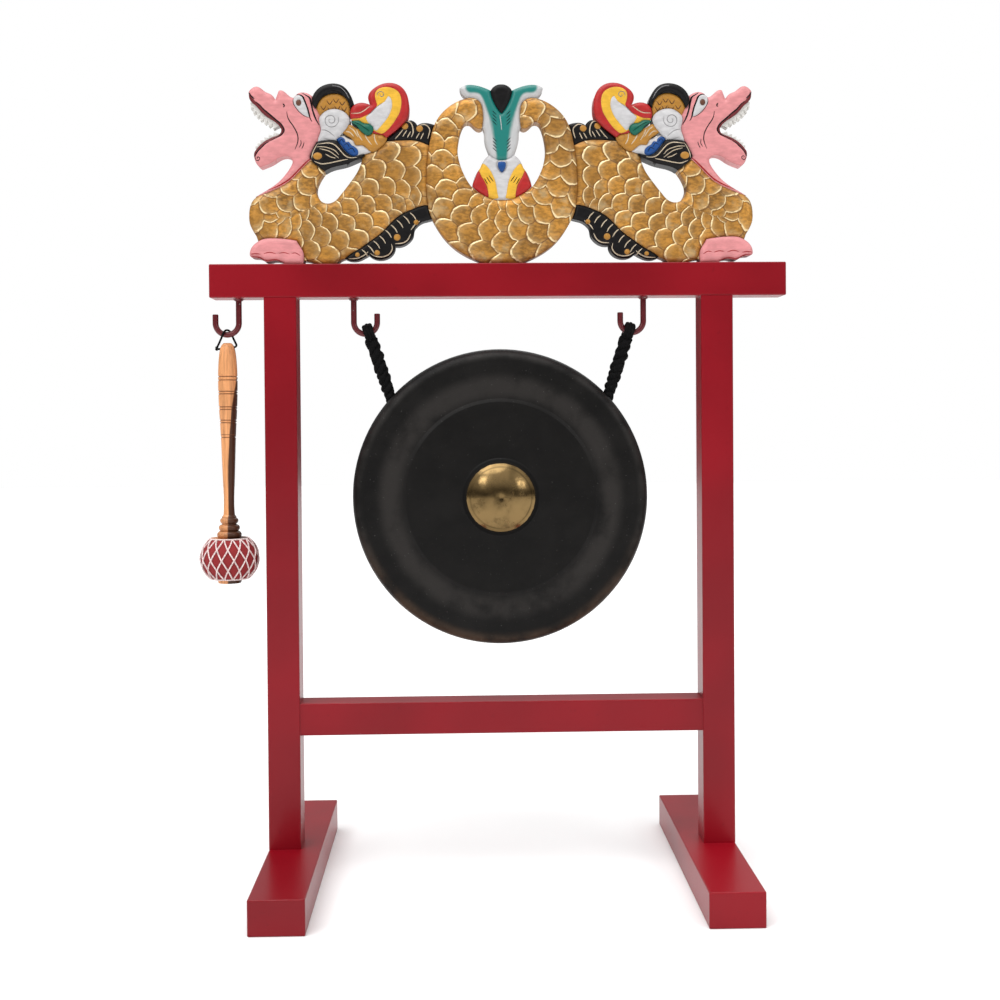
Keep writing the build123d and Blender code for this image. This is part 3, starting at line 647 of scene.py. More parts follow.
def route_points(name, route):
    """Points read from the route's smooth curve."""
    guide = bpy.data.objects.new(name, nurbs_curve(name, route))
    bpy.context.collection.objects.link(guide)
    bpy.context.view_layer.update()
    mesh = bpy.data.meshes.new_from_object(guide)
    points = [vertex.co.copy() for vertex in mesh.vertices]
    bpy.data.meshes.remove(mesh)
    bpy.data.objects.remove(guide)
    return points


def line_length(points):
    """Length of a line of points."""
    return sum((after - before).length for before, after in zip(points, points[1:]))


# ---------------------------------------------------------------- gong cords
HOOK_RADIUS, HOOK_CENTRE_Z = 14 * MM, 671 * MM
HOOK_REACH, CORD_LEAN = 161 * MM, radians(18)
RIM_REACH, KNOT_INSET, KNOT_RADIUS = 84 * MM, 13.6 * MM, 10 * MM
CORD_START = 8 * MM


def strand_tubes(points, count, coil_radius, strand_radius, turns):
    """Strands twisted about a line, thicker and thinner by turns as a hand-laid rope is."""
    parts = []
    total = line_length(points)
    steps = int(total / (0.9 * MM))
    samples = np.linspace(0, len(points) - 1, steps + 1)
    middle_line = [points[int(at)].lerp(points[min(int(at) + 1, len(points) - 1)], at - int(at)) for at in samples]
    along = (points[-1] - points[0]).normalized()
    first = along.orthogonal().normalized()
    second = along.cross(first)
    for strand in range(count):
        places, radii = [], []
        for index, point in enumerate(middle_line):
            share = index / steps
            angle = 2 * pi * (strand / count + turns * share)
            lump = 1 + 0.12 * sin(2 * angle + 2 * strand) + 0.07 * sin(5.3 * angle)
            narrow = 1 - 0.22 * max(0.0, (share - 0.45) / 0.55)
            places.append(point + (first * cos(angle) + second * sin(angle)) * coil_radius * narrow)
            radii.append(strand_radius * lump * narrow)
        parts.append(tube(places, radii, 14))
    return joined(parts)


def torus_knot(centre, axis, reach, thickness):
    """A closed overhand lump: a tube wound three times through itself."""
    first = axis.orthogonal().normalized()
    second = axis.cross(first)
    places = []
    for step in range(150):
        angle = 2 * pi * step / 150
        out = reach * (0.62 + 0.30 * cos(3 * angle))
        places.append(centre + (first * cos(2 * angle) + second * sin(2 * angle)) * out
                      + axis * reach * 0.42 * sin(3 * angle))
    return tube(places, [thickness] * 150, 12, closed=True)


class GONG_OT_gong_cords(bpy.types.Operator):
    """Builds both gong cords: bunched turns on the hook, a twisted double rope and its knot"""
    bl_idname = "gong.gong_cords"
    bl_label = "Gong cords"

    def execute(self, context):
        look = settings("gong_gong")
        yarn = cord_finish("black_cord", look.cord, 480.0)
        for side_name, side in (("left", -1), ("right", 1)):
            down = Vector((-side * sin(CORD_LEAN), 0, -cos(CORD_LEAN)))
            seat = Vector((MID_X + side * HOOK_REACH, 0, HOOK_CENTRE_Z)) + down * HOOK_RADIUS
            route = [seat + down * CORD_START, seat + down * 36 * MM, seat + down * RIM_REACH * 0.86,
                     seat + down * (RIM_REACH + KNOT_INSET - 0.6 * KNOT_RADIUS)]
            points = route_points(f"{side_name}_cord_route", route)
            strand = look.cord_diameter * 0.34
            rope = new_piece(f"{side_name}_rope", *strand_tubes(points, 3, look.cord_diameter * 0.30, strand,
                                                               look.strand_turns), [yarn])
            put_on(rope, "gong", "black_cord", f"{side_name}_gong_cord")
            across = down.cross(Vector((0, 1, 0))).normalized()
            turns = []
            for shift, tilt, grow in ((-3.6, 0.02, 0.99), (0.0, -0.03, 1.09), (3.5, 0.02, 1.01)):
                centre = seat + across * shift * MM
                lean_axis = (across + Vector((0, 1, 0)) * tilt).normalized()
                first = Vector((0, 1, 0)) - lean_axis * lean_axis.y
                first.normalize()
                second = lean_axis.cross(first)
                ring = 8.9 * MM * grow
                turns.append(tube([centre + (first * cos(a) + second * sin(a)) * ring
                                   for a in np.linspace(0, 2 * pi, 49)[:-1]],
                                  [2.7 * MM * (1 + 0.10 * sin(9 * a)) for a in np.linspace(0, 2 * pi, 49)[:-1]],
                                  12, closed=True))
            wraps = put_on(new_piece(f"{side_name}_cord_turns", *joined(turns), [yarn]), "gong", "black_cord")
            knot = new_piece(f"{side_name}_knot",
                             *torus_knot(seat + down * (RIM_REACH + KNOT_INSET), down, KNOT_RADIUS * 0.78, 2.6 * MM),
                             [yarn])
            put_on(knot, "gong", "black_cord", f"{side_name}_cord_knot")
        return {"FINISHED"}


# ---------------------------------------------------------------- stand and gong
class GONG_OT_stand(bpy.types.Operator):
    """Gives the timbers, dowels, screws and hooks their finishes"""
    bl_idname = "gong.stand"
    bl_label = "Stand"

    def execute(self, context):
        lacquer, paint, metal, wood = red_lacquer(), hook_paint(), plain_metal(), bare_wood()
        for node in ("top_beam", "left_post", "right_post", "left_foot", "right_foot", "lower_rail"):
            finish_node(node, lacquer)
        for node in ("left_gong_hook", "right_gong_hook", "beater_hook"):
            finish_node(node, paint)
        for node in ("post_dowels", "rail_dowels", "crest_pins"):
            finish_node(node, wood)
        finish_node("foot_screws", metal)
        return {"FINISHED"}


class GONG_OT_gong(bpy.types.Operator):
    """Gives the gong its black patina and polished boss"""
    bl_idname = "gong.gong"
    bl_label = "Gong"

    def execute(self, context):
        finish_node("gong", gong_bronze())
        return {"FINISHED"}


# ---------------------------------------------------------------- beater
HEAD_TOP, HEAD_BOTTOM = 412.5 * MM, 363.7 * MM
HEAD_RADIUS, CORE_RADIUS, PAD_CAP = 34.2 * MM, 22 * MM, 13 * MM
LOOP_HOLE_Z, LOOP_SEAT = 640 * MM, 5.6 * MM


def head_radius(height, skin=0.0):
    """Radius of the beater's head at a height: an arc through its ends and its widest line."""
    half = (HEAD_TOP - HEAD_BOTTOM) / 2
    rise = HEAD_RADIUS + skin - CORE_RADIUS
    arc = (half * half + rise * rise) / (2 * rise)
    off = height - (HEAD_TOP + HEAD_BOTTOM) / 2
    return CORE_RADIUS + rise - arc + sqrt(arc * arc - off * off)


def net_cord(start, turn, centre):
    """One net cord over the head, from its top ring to its bottom ring."""
    places = []
    for step in range(41):
        share = step / 40
        height = HEAD_TOP - 0.6 * MM + (HEAD_BOTTOM - HEAD_TOP + 1.2 * MM) * share
        angle = start + turn * (share - 0.5)
        weave = 0.25 * MM * sin(pi * 5 * share + (0 if turn > 0 else pi))
        out = head_radius(height) + 0.55 * MM + weave
        places.append(Vector((centre.x + out * cos(angle), centre.y + out * sin(angle), height)))
    return tube(places, [0.88 * MM] * len(places), 8)


class GONG_OT_beater(bpy.types.Operator):
    """Builds the beater: oiled handle, cloth pad, knotted net and hanging loop"""
    bl_idname = "gong.beater"
    bl_label = "Beater"

    def execute(self, context):
        look = settings("gong_beater")
        centre = Vector((BEATER_X, 0, 0))
        finish_node("beater_handle", beater_wood())
        heights = [HEAD_TOP + (HEAD_BOTTOM - HEAD_TOP) * step / 40 for step in range(41)]
        profile = [(head_radius(height) - 0.35 * MM, height) for height in heights]
        profile = [(PAD_CAP, HEAD_TOP - 0.8 * MM), *profile, (PAD_CAP, HEAD_BOTTOM + 0.8 * MM)]
        pad = put_on(new_piece("pad", *lathe(profile, centre), [pad_cloth()], sharp=radians(60)), "beater",
                     "pad_cloth", "beater_pad")
        turn = radians(46)
        cords = [net_cord(2 * pi * index / look.net_cords, way * turn, centre)
                 for index in range(look.net_cords) for way in (-1, 1)]
        for height, out in ((HEAD_TOP - 0.5 * MM, 0.3), (HEAD_BOTTOM + 0.5 * MM, 0.3)):
            ring = head_radius(height) + out * MM
            cords.append(tube([centre + Vector((ring * cos(a), ring * sin(a), height))
                               for a in np.linspace(0, 2 * pi, 73)[:-1]], [0.95 * MM] * 72, 8, closed=True))
        put_on(new_piece("net", *joined(cords), [cord_finish("net_cord", look.net, 900.0)]), "beater",
               "net_cord", "beater_net")
        route = [(BEATER_X - 12.6 * MM, 0, LOOP_HOLE_Z), (BEATER_X + 13.4 * MM, 0, LOOP_HOLE_Z),
                 (BEATER_X + 6.6 * MM, LOOP_SEAT, 651.6 * MM), (BEATER_X + 2.6 * MM, LOOP_SEAT, 662.6 * MM),
                 (BEATER_X - 2.6 * MM, -LOOP_SEAT, 662.6 * MM), (BEATER_X - 6.6 * MM, -LOOP_SEAT, 651.6 * MM),
                 (BEATER_X - 12.6 * MM, -0.2 * MM, 641.6 * MM)]
        yarn = cord_finish("loop_cord", settings("gong_gong").cord, 900.0)
        points = route_points("loop_route", route)
        curve = nurbs_curve("hanging_loop", route)
        curve.bevel_depth = look.loop_diameter / 2
        curve.bevel_resolution = 4
        curve.use_fill_caps = True
        curve.materials.append(yarn)
        loop = bpy.data.objects.new("hanging_loop_cord", curve)
        context.collection.objects.link(loop)
        put_on(loop, "hanging_loop", "black_cord", "beater_loop")
        knot_place = Vector((BEATER_X - 12.8 * MM, 0, LOOP_HOLE_Z + 0.8 * MM))
        knot = new_piece("loop_knot", *torus_knot(knot_place, Vector((1, 0, 0)), 2.1 * MM, 1.0 * MM), [yarn])
        put_on(knot, "hanging_loop", "black_cord")
        return {"FINISHED"}


# ---------------------------------------------------------------- carving
# Paint marks in the dragon's own millimetres: x towards the coil, z above the beam.
def patch(paint, points, raised=0.0):
    """A painted area with a cut line round it."""
    return {"paint": paint, "line": points, "closed": True, "raised": raised, "width": 0.0}


def stroke(paint, width, *points, cut=0.7):
    """A painted line that is also a shallow cut."""
    return {"paint": paint, "line": points, "closed": False, "raised": -cut, "width": width}


def dot(paint, x, z, radius, raised=0.6, flat=1.0):
    """A round painted spot."""
    return patch(paint, [(x + radius * cos(a), z + radius * flat * sin(a))
                         for a in np.linspace(0, 2 * pi, 13)[:-1]], raised)


def spiral(paint, x, z, radius, turns, width, start=0.0, way=1):
    """A cut spiral."""
    steps = int(14 * turns)
    return stroke(paint, width, *[
        (x + radius * (1 - 0.82 * step / steps) * cos(start + way * 2 * pi * turns * step / steps),
         z + radius * (1 - 0.82 * step / steps) * sin(start + way * 2 * pi * turns * step / steps))
        for step in range(steps + 1)])


MOUTH_UPPER = [(11.5, 193.8), (16.2, 190), (20.8, 184.6), (24.6, 181.5), (30, 176.9), (36.2, 171.5),
               (40, 168.5), (43.1, 164.6), (45, 160), (43.8, 156.9), (40.8, 153.8), (36.2, 151.5), (29.2, 147.7)]
MOUTH_LOWER = [(26.2, 145.8), (22.3, 143.8), (18.5, 140), (13.8, 135.4), (10.8, 130.8), (9.2, 128.1)]
LINING = [(3, 203), *MOUTH_UPPER, *MOUTH_LOWER, (8, 130), (9, 136), (15, 143), (20.8, 147.5), (33, 153.5),
          (39.6, 156.4), (40.6, 161), (37, 166.4), (31, 171.4), (18, 180.8), (10, 190), (4, 196)]

dragon_marks = {
    "dragon_head": [
        patch("lining", LINING, -0.8),
        stroke("black", 1.5, (2.7, 205.4), (6, 201), (10, 197)),
        stroke("black", 1.7, *MOUTH_UPPER),
        stroke("black", 1.7, *MOUTH_LOWER),
        spiral("black", 13.5, 126.5, 3.5, 1.2, 1.0, 2.6),
        stroke("black", 1.7, (43.8, 191.2), (45.5, 189.2), (44.6, 186.9)),
        stroke("black", 1.3, (48.3, 181.9), (49.2, 176.2), (51.5, 170.8), (55.4, 165.4), (58.5, 160),
               (60.8, 154.6), (61.5, 148.5), (60.4, 143.1), (57.7, 136.9)),
        stroke("black", 1.0, (64.8, 148.1), (65, 143.1), (62.7, 139.2)),
        stroke("black", 1.0, (68.6, 145), (67.7, 141.5), (65.8, 137.7)),
        patch("white", [(56.5, 199.2), (56.9, 191.5), (60, 186.2), (64.6, 180.8), (70, 176.9), (74.6, 175.4),
                        (74.2, 180), (71.5, 189.2), (68.5, 197.7), (63.8, 201.5), (59.2, 201.5)], 0.7),
        dot("brown", 62.6, 192.3, 3.2, 0.9, 1.2),
        stroke("black", 0.8, (55.8, 197.5), (56.4, 191.5), (59.5, 185.9), (64.2, 180.4), (70, 176.2),
               (74.8, 174.6)),
        stroke("black", 1.9, (59.6, 202.5), (63.8, 201.9), (67.7, 199.2), (70, 193.8), (72.7, 186.9),
               (74.6, 180), (75.8, 174.6), (78.1, 170)),
        stroke("black", 2.0, (66.9, 204.2), (71.5, 201.2), (75.4, 198.5), (76.9, 193.8), (78.5, 186.2),
               (80.4, 179.2), (83.1, 172.3), (86.5, 166.2)),
        stroke("red", 1.4, (22, 88), (36, 93.2), (46, 98.6), (53, 104), (64, 115.2), (73, 124), (80, 129)),
    ],
    "ear_arch": [stroke("black", 1.2, (86, 191), (92, 200.6), (101, 206.4), (110, 205), (117, 199), (122, 190)),
                 # Painted highlight: a grey line along the arch's outer edge.
                 stroke("shade", 0.8, (103, 212.5), (112, 210.5), (118.6, 204.4), (122.8, 197))],
    # Painted shade: the shell's scallop cuts are drawn in groove brown.
    "ear_shell": [stroke("groove", 1.3, (x, z), (x + 3.4, z - 4.4), (x + 6.8, z))
                  for x, z in ((88.5, 189), (96, 195), (103.6, 197), (111, 194), (113, 187), (97, 187), (105, 188.5))],
    "cheek_puff": [spiral("shade", 101, 171, 9.5, 1.7, 1.1, 0.4, -1),
                   stroke("shade", 1.1, (90, 160), (97, 158), (105, 152)),
                   stroke("shade", 1.0, (92, 150), (98, 148.5), (103, 146))],
    "horn": [
        patch("yellow", [(124.6, 172.6), (135, 173.6), (141.2, 176), (148.1, 179.8), (153.5, 185.2), (156, 189.4),
                         (154.4, 194.6), (153.6, 200), (154.4, 204.6), (158.1, 208.5), (164.2, 210.4),
                         (171.9, 210), (179.6, 206.5), (183.5, 201.5), (185, 194.6), (184.6, 187.7),
                         (182.7, 180), (178.8, 173.1), (174.2, 166.2), (168.8, 160), (162.7, 155.6),
                         (157, 156.4), (150, 160), (142, 165), (134, 169)], 0.3),
        patch("white", [(161, 190.5), (165, 193.1), (168.1, 197.7), (169.6, 199.6), (171.9, 197.7), (173.5, 193.8),
                        (173.8, 187.7), (171.9, 180.8), (168.8, 174.6), (164.2, 168.5), (159.6, 163.1),
                        (155, 158.8), (150.5, 162), (146, 167.5), (142.7, 174.6), (148.8, 180), (155, 186.2)], 0.5),
        patch("red", [(124.2, 181), (124.6, 186.4), (128.8, 190.6), (137.3, 191.6), (144.2, 190.4),
                      (146.2, 188.5), (144.2, 186.9), (139.6, 183.1), (133.5, 180.4), (127, 179.8)], 0.5),
        stroke("cream", 1.1, (125, 179.4), (133.5, 179.4), (140.2, 182.2), (147, 187.6)),
        stroke("shade", 0.9, (161, 190.5), (155, 186.2), (148.8, 180), (142.7, 175)),
        spiral("shade", 161, 201, 5.0, 1.1, 0.9, 3.4, -1),
    ],
    "leaf": [stroke("shade_green", 1.1, (129, 168.8), (136, 165.4), (143, 160.4), (146.8, 158))],
    # Painted highlight: cream strokes along the collar's cuts, where their lit walls catch light.
    "neck_collar": [stroke("cream", 1.2, *points) for points in (
        [(118, 158), (123, 157), (128, 152)], [(123, 163), (128, 159), (133, 151)],
        [(131, 160), (134, 153), (138, 147)], [(140, 158), (143, 150), (149, 142)],
        [(152, 156), (153, 148), (156, 142)])] + [dot("tan", 160.5, 150.5, 4.4)],
    "neck_frill": [
        patch("blue", [(106.9, 147.7), (109.6, 151), (113.5, 151.7), (117.3, 148.5), (118.1, 145.4), (121.9, 145.8),
                       (125, 141.9), (128.8, 140), (132.3, 136.4), (133.1, 132.3), (131.2, 129.8),
                       (125.8, 129.2), (120.4, 132.3), (115.8, 136.9), (111.9, 142.3)], 0.6),
        stroke("black", 0.9, (110, 146), (113.6, 148.6), (116, 145)),
        stroke("black", 0.9, (116, 141.6), (120, 143.4), (122.6, 139)),
        stroke("black", 0.9, (121, 136), (126, 138), (129, 133))],
    "mane": [
        stroke("cream", 1.2, (84.2, 143.1), (90, 143.5), (97.7, 144.2), (104.2, 142.3), (108.8, 138.5),
               (113.5, 133.1), (118.1, 128.5), (123.5, 126.5), (131, 127)),
        stroke("cream", 1.0, (83.8, 139.6), (93.8, 139.2), (104.6, 135.4), (110, 130)),
        stroke("cream", 1.0, (87, 137.4), (97.7, 134.6), (104.6, 130.3), (110, 126)),
        stroke("cream", 1.0, (94, 131), (100, 127.6), (106, 126)),
        stroke("cream", 1.2, (80.8, 122.7), (84.6, 120.8), (90, 119.2), (97.7, 120), (105, 121.5),
               (114.2, 123.5), (120.4, 124.6)),
        stroke("cream", 1.1, (77.6, 126), (79.4, 134), (84.4, 143)),
        dot("tan", 84.6, 128.6, 5.4, 0.7, 0.8)],
    "back_fin": [
        stroke("cream", 1.3, (186, 168.6), (192, 171), (197, 167), (198.6, 158), (196.4, 152)),
        stroke("cream", 1.1, (186.6, 161), (181, 154), (177, 150)), stroke("cream", 1.1, (191, 160), (186, 152.4)),
        stroke("cream", 1.1, (195.6, 158.6), (191.6, 151.4)),
        stroke("cream", 1.2, (207, 166.6), (213, 166.6), (218.4, 161), (216, 150)),
        stroke("cream", 1.1, (206, 156.8), (202, 150)), stroke("cream", 1.1, (211, 156.8), (207.4, 149.4)),
        dot("tan", 188.8, 165, 4.0), dot("tan", 206.3, 162.1, 4.0)],
    "belly_fin": [
        stroke("cream", 1.2, (120, 6.6), (131, 7.4), (139, 11), (143.6, 14.8)),
        stroke("cream", 1.2, (146, 13), (152, 9.6), (161, 8.8), (168.6, 12), (172.4, 18), (171.6, 24)),
        stroke("cream", 1.2, (176, 24.4), (185, 25.2), (191, 29), (194.6, 36)),
        stroke("cream", 1.2, (195, 40.6), (199.6, 46.8), (206, 51.6)),
        *[stroke("cream", 1.2, (x, z), (x + 4.6, z - 4.2), (x + 7.6, z - 9.4)) for x, z in (
            (136, 17.6), (143, 22.6), (150, 28), (157, 34), (164, 41), (171, 47), (178, 52.6), (186, 57.6),
            (194, 61.4))],
        dot("tan", 201.4, 50, 3.0), dot("tan", 178.4, 32, 4.0), dot("tan", 154.3, 13.5, 3.4),
        dot("tan", 130.7, 11.4, 2.8)],
    "claw": [
        stroke("red", 1.0, (4, 12), (10, 12.6), (16, 11.8)), stroke("red", 1.0, (20, 12.6), (27, 14), (34, 12.4)),
        stroke("red", 1.0, (38, 12.8), (44, 13.6), (50, 12)), stroke("red", 1.0, (53, 12.6), (58, 13), (63, 10)),
        stroke("red", 1.0, (5.4, 9.4), (14, 8.4), (22, 4.8), (34, 5.4), (44, 2))],
    "dragon_body": [],
}

plume_marks = [stroke("black", 0.9, (side * 10.6, z + 4.4), (side * 6.2, z))
               for side in (-1, 1) for z in (134, 138, 142, 146, 166, 170, 174, 178)]
# Painted highlight: a white line down the plume's spine.
plume_marks += [stroke("white", 0.9, (0, 160), (-0.6, 168), (-2, 178))]
PETAL_SEAM = [(28, 111), (24.5, 104), (21.6, 99.5), (17.8, 91), (16.6, 79)]
petal_marks = [patch("yellow", [(side * x, z) for x, z in (
    (5, 78), (5.4, 84), (7.6, 97), (11, 106), (15.4, 113.4), (22.3, 119.6), (26, 115.6), *PETAL_SEAM)], 0.4)
    for side in (-1, 1)]
petal_marks += [patch("red", [(side * x, z) for x, z in (*PETAL_SEAM, (26, 84), (34.6, 91.2), (35, 95), (32, 103))], 0.6)
                for side in (-1, 1)]
petal_marks += [stroke("black", 1.0, (side * (10.4 + 3.4 * step), 98 - 1.6 * step),
                       (side * (15.6 + 2.8 * step), 105 - 1.6 * step)) for side in (-1, 1) for step in range(3)]
drop_marks = [patch("blue", [(0, 108.9), (3.6, 113), (4.9, 117.6), (3.6, 121.4), (-3.6, 121.4), (-4.9, 117.6),
                             (-3.6, 113)], 0.3)]

BODY_FLOW = [(84, 124), (66, 105), (46, 89), (28, 72), (20, 54), (32, 36), (60, 28), (92, 34), (120, 50),
             (146, 74), (170, 94), (196, 104), (230, 104)]
COIL_FLOW = [(26, 178), (46, 183), (61, 171), (68, 148), (71, 118), (66, 88), (50, 60), (26, 43), (0, 38),
             (-26, 43), (-50, 60), (-66, 88), (-71, 118), (-68, 148), (-61, 171), (-46, 183), (-26, 178)]


def smooth_line(points, closed=False, step=1.3):
    """A smooth line through points, sampled about every step millimetres."""
    places = [Vector(point) for point in points]
    count = len(places)
    line = []
    for index in range(count if closed else count - 1):
        here, after = places[index], places[(index + 1) % count]
        before = places[index - 1] if closed or index else 2 * here - after
        beyond = places[(index + 2) % count] if closed or index + 2 < count else 2 * after - here
        pieces = max(1, round((after - here).length / step))
        for piece in range(pieces):
            u = piece / pieces
            line.append(0.5 * (2 * here + (after - before) * u + (2 * before - 5 * here + 4 * after - beyond) * u * u
                               + (3 * here - before - 3 * after + beyond) * u**3))
    return line if closed else line + [places[-1]]


def ribbon(line, width):
    """The outline of a stroke, narrower at its ends."""
    left, right = [], []
    last = len(line) - 1
    for index, point in enumerate(line):
        ahead = line[min(index + 1, last)] - line[max(index - 1, 0)]
        side = Vector((-ahead.y, ahead.x)).normalized()
        half = width / 2 * (0.4 + 0.6 * min(1.0, 5 * min(index, last - index) / last))
        left.append(point + side * half)
        right.append(point - side * half)
    return left + right[::-1]


def inside(outline, points):
    """Which points lie inside a closed outline."""
    x, z = points[:, 0], points[:, 1]
    within = np.zeros(len(points), bool)
    for (ax, az), (bx, bz) in zip(outline, np.roll(outline, -1, axis=0)):
        crossing = (az > z) != (bz > z)
        if az != bz:
            within ^= crossing & (x < (bx - ax) * (z - az) / (bz - az) + ax)
    return within


def front_outlines(node, to_local):
    """Closed outlines of a CAD solid's front face, in the carving's own millimetres."""
    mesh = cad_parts[node].data
    mesh.calc_loop_triangles()
    places = np.array([vertex.co for vertex in mesh.vertices])
    front = places[:, 1].min()
    spots, owner = {}, []
    for place in places:
        owner.append(spots.setdefault(tuple(np.round(place, 6)), len(spots)))
    welded = np.array(list(spots))
    used = {}
    for triangle in mesh.loop_triangles:
        corners = [owner[index] for index in triangle.vertices]
        if all(welded[corner][1] < front + 1e-5 for corner in corners):
            for start, end in zip(corners, corners[1:] + corners[:1]):
                used[frozenset((start, end))] = used.get(frozenset((start, end)), 0) + 1
    links = {}
    for edge, times in used.items():
        if times == 1 and len(edge) == 2:
            start, end = edge
            links.setdefault(start, []).append(end)
            links.setdefault(end, []).append(start)
    outlines = []
    while links:
        start = next(iter(links))
        loop, here = [start], links[start][0]
        while here != start:
            loop.append(here)
            onward = [point for point in links[here] if point != loop[-2]]
            here = onward[0] if onward else start
        for point in loop:
            links.pop(point, None)
        outlines.append(np.array([to_local(welded[point][0], welded[point][2]) for point in loop]))
    return [outline for outline in outlines if len(outline) > 2]


def divided(outline, step):
    """An outline with its long runs divided."""
    line = []
    for start, end in zip(outline, np.roll(outline, -1, axis=0)):
        pieces = max(1, int(np.hypot(*(end - start)) / step))
        line += [start + (end - start) * piece / pieces for piece in range(pieces)]
    return line


def nearest(samples, points):
    """Distance from each point to the nearest sample."""
    tree = KDTree(len(samples))
    for index, sample in enumerate(samples):
        tree.insert((sample[0], sample[1], 0), index)
    tree.balance()
    return np.array([tree.find((x, z, 0))[2] for x, z in points])


def flow_of(path, points):
    """Distance along a path, and to its side, of each point."""
    line = np.array([tuple(point) for point in smooth_line(path, step=2.0)])
    starts, runs = line[:-1], np.diff(line, axis=0)
    lengths = np.hypot(runs[:, 0], runs[:, 1])
    passed = np.concatenate(([0.0], np.cumsum(lengths)))[:-1]
    off = points[:, None, :] - starts[None]
    share = np.clip((off * runs).sum(2) / lengths**2, 0, 1)
    away = off - share[..., None] * runs
    best = np.hypot(away[..., 0], away[..., 1]).argmin(1)
    pick = np.arange(len(points))
    turn = runs[best, 0] * off[pick, best, 1] - runs[best, 1] * off[pick, best, 0]
    return passed[best] + share[pick, best] * lengths[best], turn / lengths[best]


def carve(node, to_local, marks, paints, base, crown, flow=None, fade=None, coarse=1.0):
    """Vertices, faces, face paints and surface facts of one carved piece, front and back alike."""
    look = settings("gong_crest")
    step = look.grain / MM * 1.0
    low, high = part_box(node)
    half = (high[1] - low[1]) / 2 / MM
    outlines = front_outlines(node, to_local)
    rims = [divided(outline, step) for outline in outlines]
    rim_samples = [point for outline in outlines for point in divided(outline, 0.5)]
    places, edges = [], []

    def add_ring(ring, closed=True):
        start = len(places)
        places.extend((float(point[0]), float(point[1])) for point in ring)
        edges.extend((start + index, start + index + 1) for index in range(len(ring) - 1))
        if closed:
            edges.append((start + len(ring) - 1, start))

    for rim in rims:
        add_ring(rim)
    shapes = []
    for mark in marks:
        line = smooth_line(mark["line"], mark["closed"])
        area = line if mark["closed"] else ribbon(line, mark["width"])
        add_ring(area)
        if not mark["closed"]:
            add_ring(line[1:-1], closed=False)
        shapes.append((mark, np.array([tuple(point) for point in area]), [tuple(point) for point in line]))
    corner = np.min([outline.min(0) for outline in outlines], axis=0)
    reach = np.max([outline.max(0) for outline in outlines], axis=0)
    columns, levels = np.meshgrid(np.arange(corner[0], reach[0], step), np.arange(corner[1], reach[1], step * 0.87))
    columns = columns + (np.arange(len(levels)) % 2)[:, None] * step / 2
    grid = np.column_stack((columns.ravel(), levels.ravel()))
    within = np.zeros(len(grid), bool)
    for outline in outlines:
        within ^= inside(outline, grid)
    grid = grid[within]
    if len(grid):
        grid = grid[nearest(places, grid) > step * 0.55]
    points = [Vector(place) for place in places] + [Vector(tuple(place)) for place in grid]
    made, made_edges, triangles, *others = delaunay_2d_cdt(points, edges, [], 0, 1e-4)
    flat = np.array([tuple(point) for point in made])
    triangles = np.array(triangles)
    centres = flat[triangles].mean(1)
    kept = np.zeros(len(triangles), bool)
    for outline in outlines:
        kept ^= inside(outline, centres)
    triangles, centres = triangles[kept], centres[kept]
    used = np.unique(triangles)
    renumber = np.full(len(flat), -1)
    renumber[used] = np.arange(len(used))
    flat, triangles = flat[used], renumber[triangles]
    paint = np.full(len(triangles), paints.index(base))
    near = nearest(rim_samples, flat)
    height = half - crown * (1 - np.clip(near / (crown * 1.9), 0, 1)) ** 2
    cut = np.zeros(len(flat))
    for mark, area, line in shapes:
        paint[inside(area, centres)] = paints.index(mark["paint"])
        dense = [tuple(point) for point in smooth_line(mark["line"], mark["closed"], 0.5)]
        away = nearest(dense, flat)
        if mark["closed"]:
            held = inside(area, flat) & (away > 0.05)
            height += np.where(held, mark["raised"] * np.clip(away / 2.2, 0, 1), 0)
            groove = np.clip(1 - away / 0.9, 0, 1)
            height -= 0.45 * groove
        else:
            groove = np.clip(1 - away / (mark["width"] * 0.5), 0, 1)
            height += mark["raised"] * groove
        cut = np.maximum(cut, groove * 0.6)
    # near and cut carry the painted shade that the paints lay close to the outline and in the cuts.
    facts = np.column_stack((near, cut, fade(flat) if fade else np.zeros(len(flat))))
    course = np.zeros((len(flat), 3))
    if flow:
        rows, width = look.scale_pitch / MM, look.scale_width / MM
        along, across = (distance / coarse for distance in flow_of(flow, flat))
        course[:, 0], course[:, 1] = along, across
        to_edge, past_edge, to_side, row, cell = scale_field(along, across, rows, width, rows * BULGE_SHARE,
                                                             np.floor, np.abs)
        lift = 1.5 * np.clip(1 - to_edge / (rows * 1.3), 0, 1) * np.clip(to_edge / 1.2, 0.25, 1)
        height += (lift - 1.3 + 0.25 * np.clip(to_side / 3, 0, 1)) * np.clip(near / 3, 0, 1)
    return flat, triangles, paint, height, facts, course


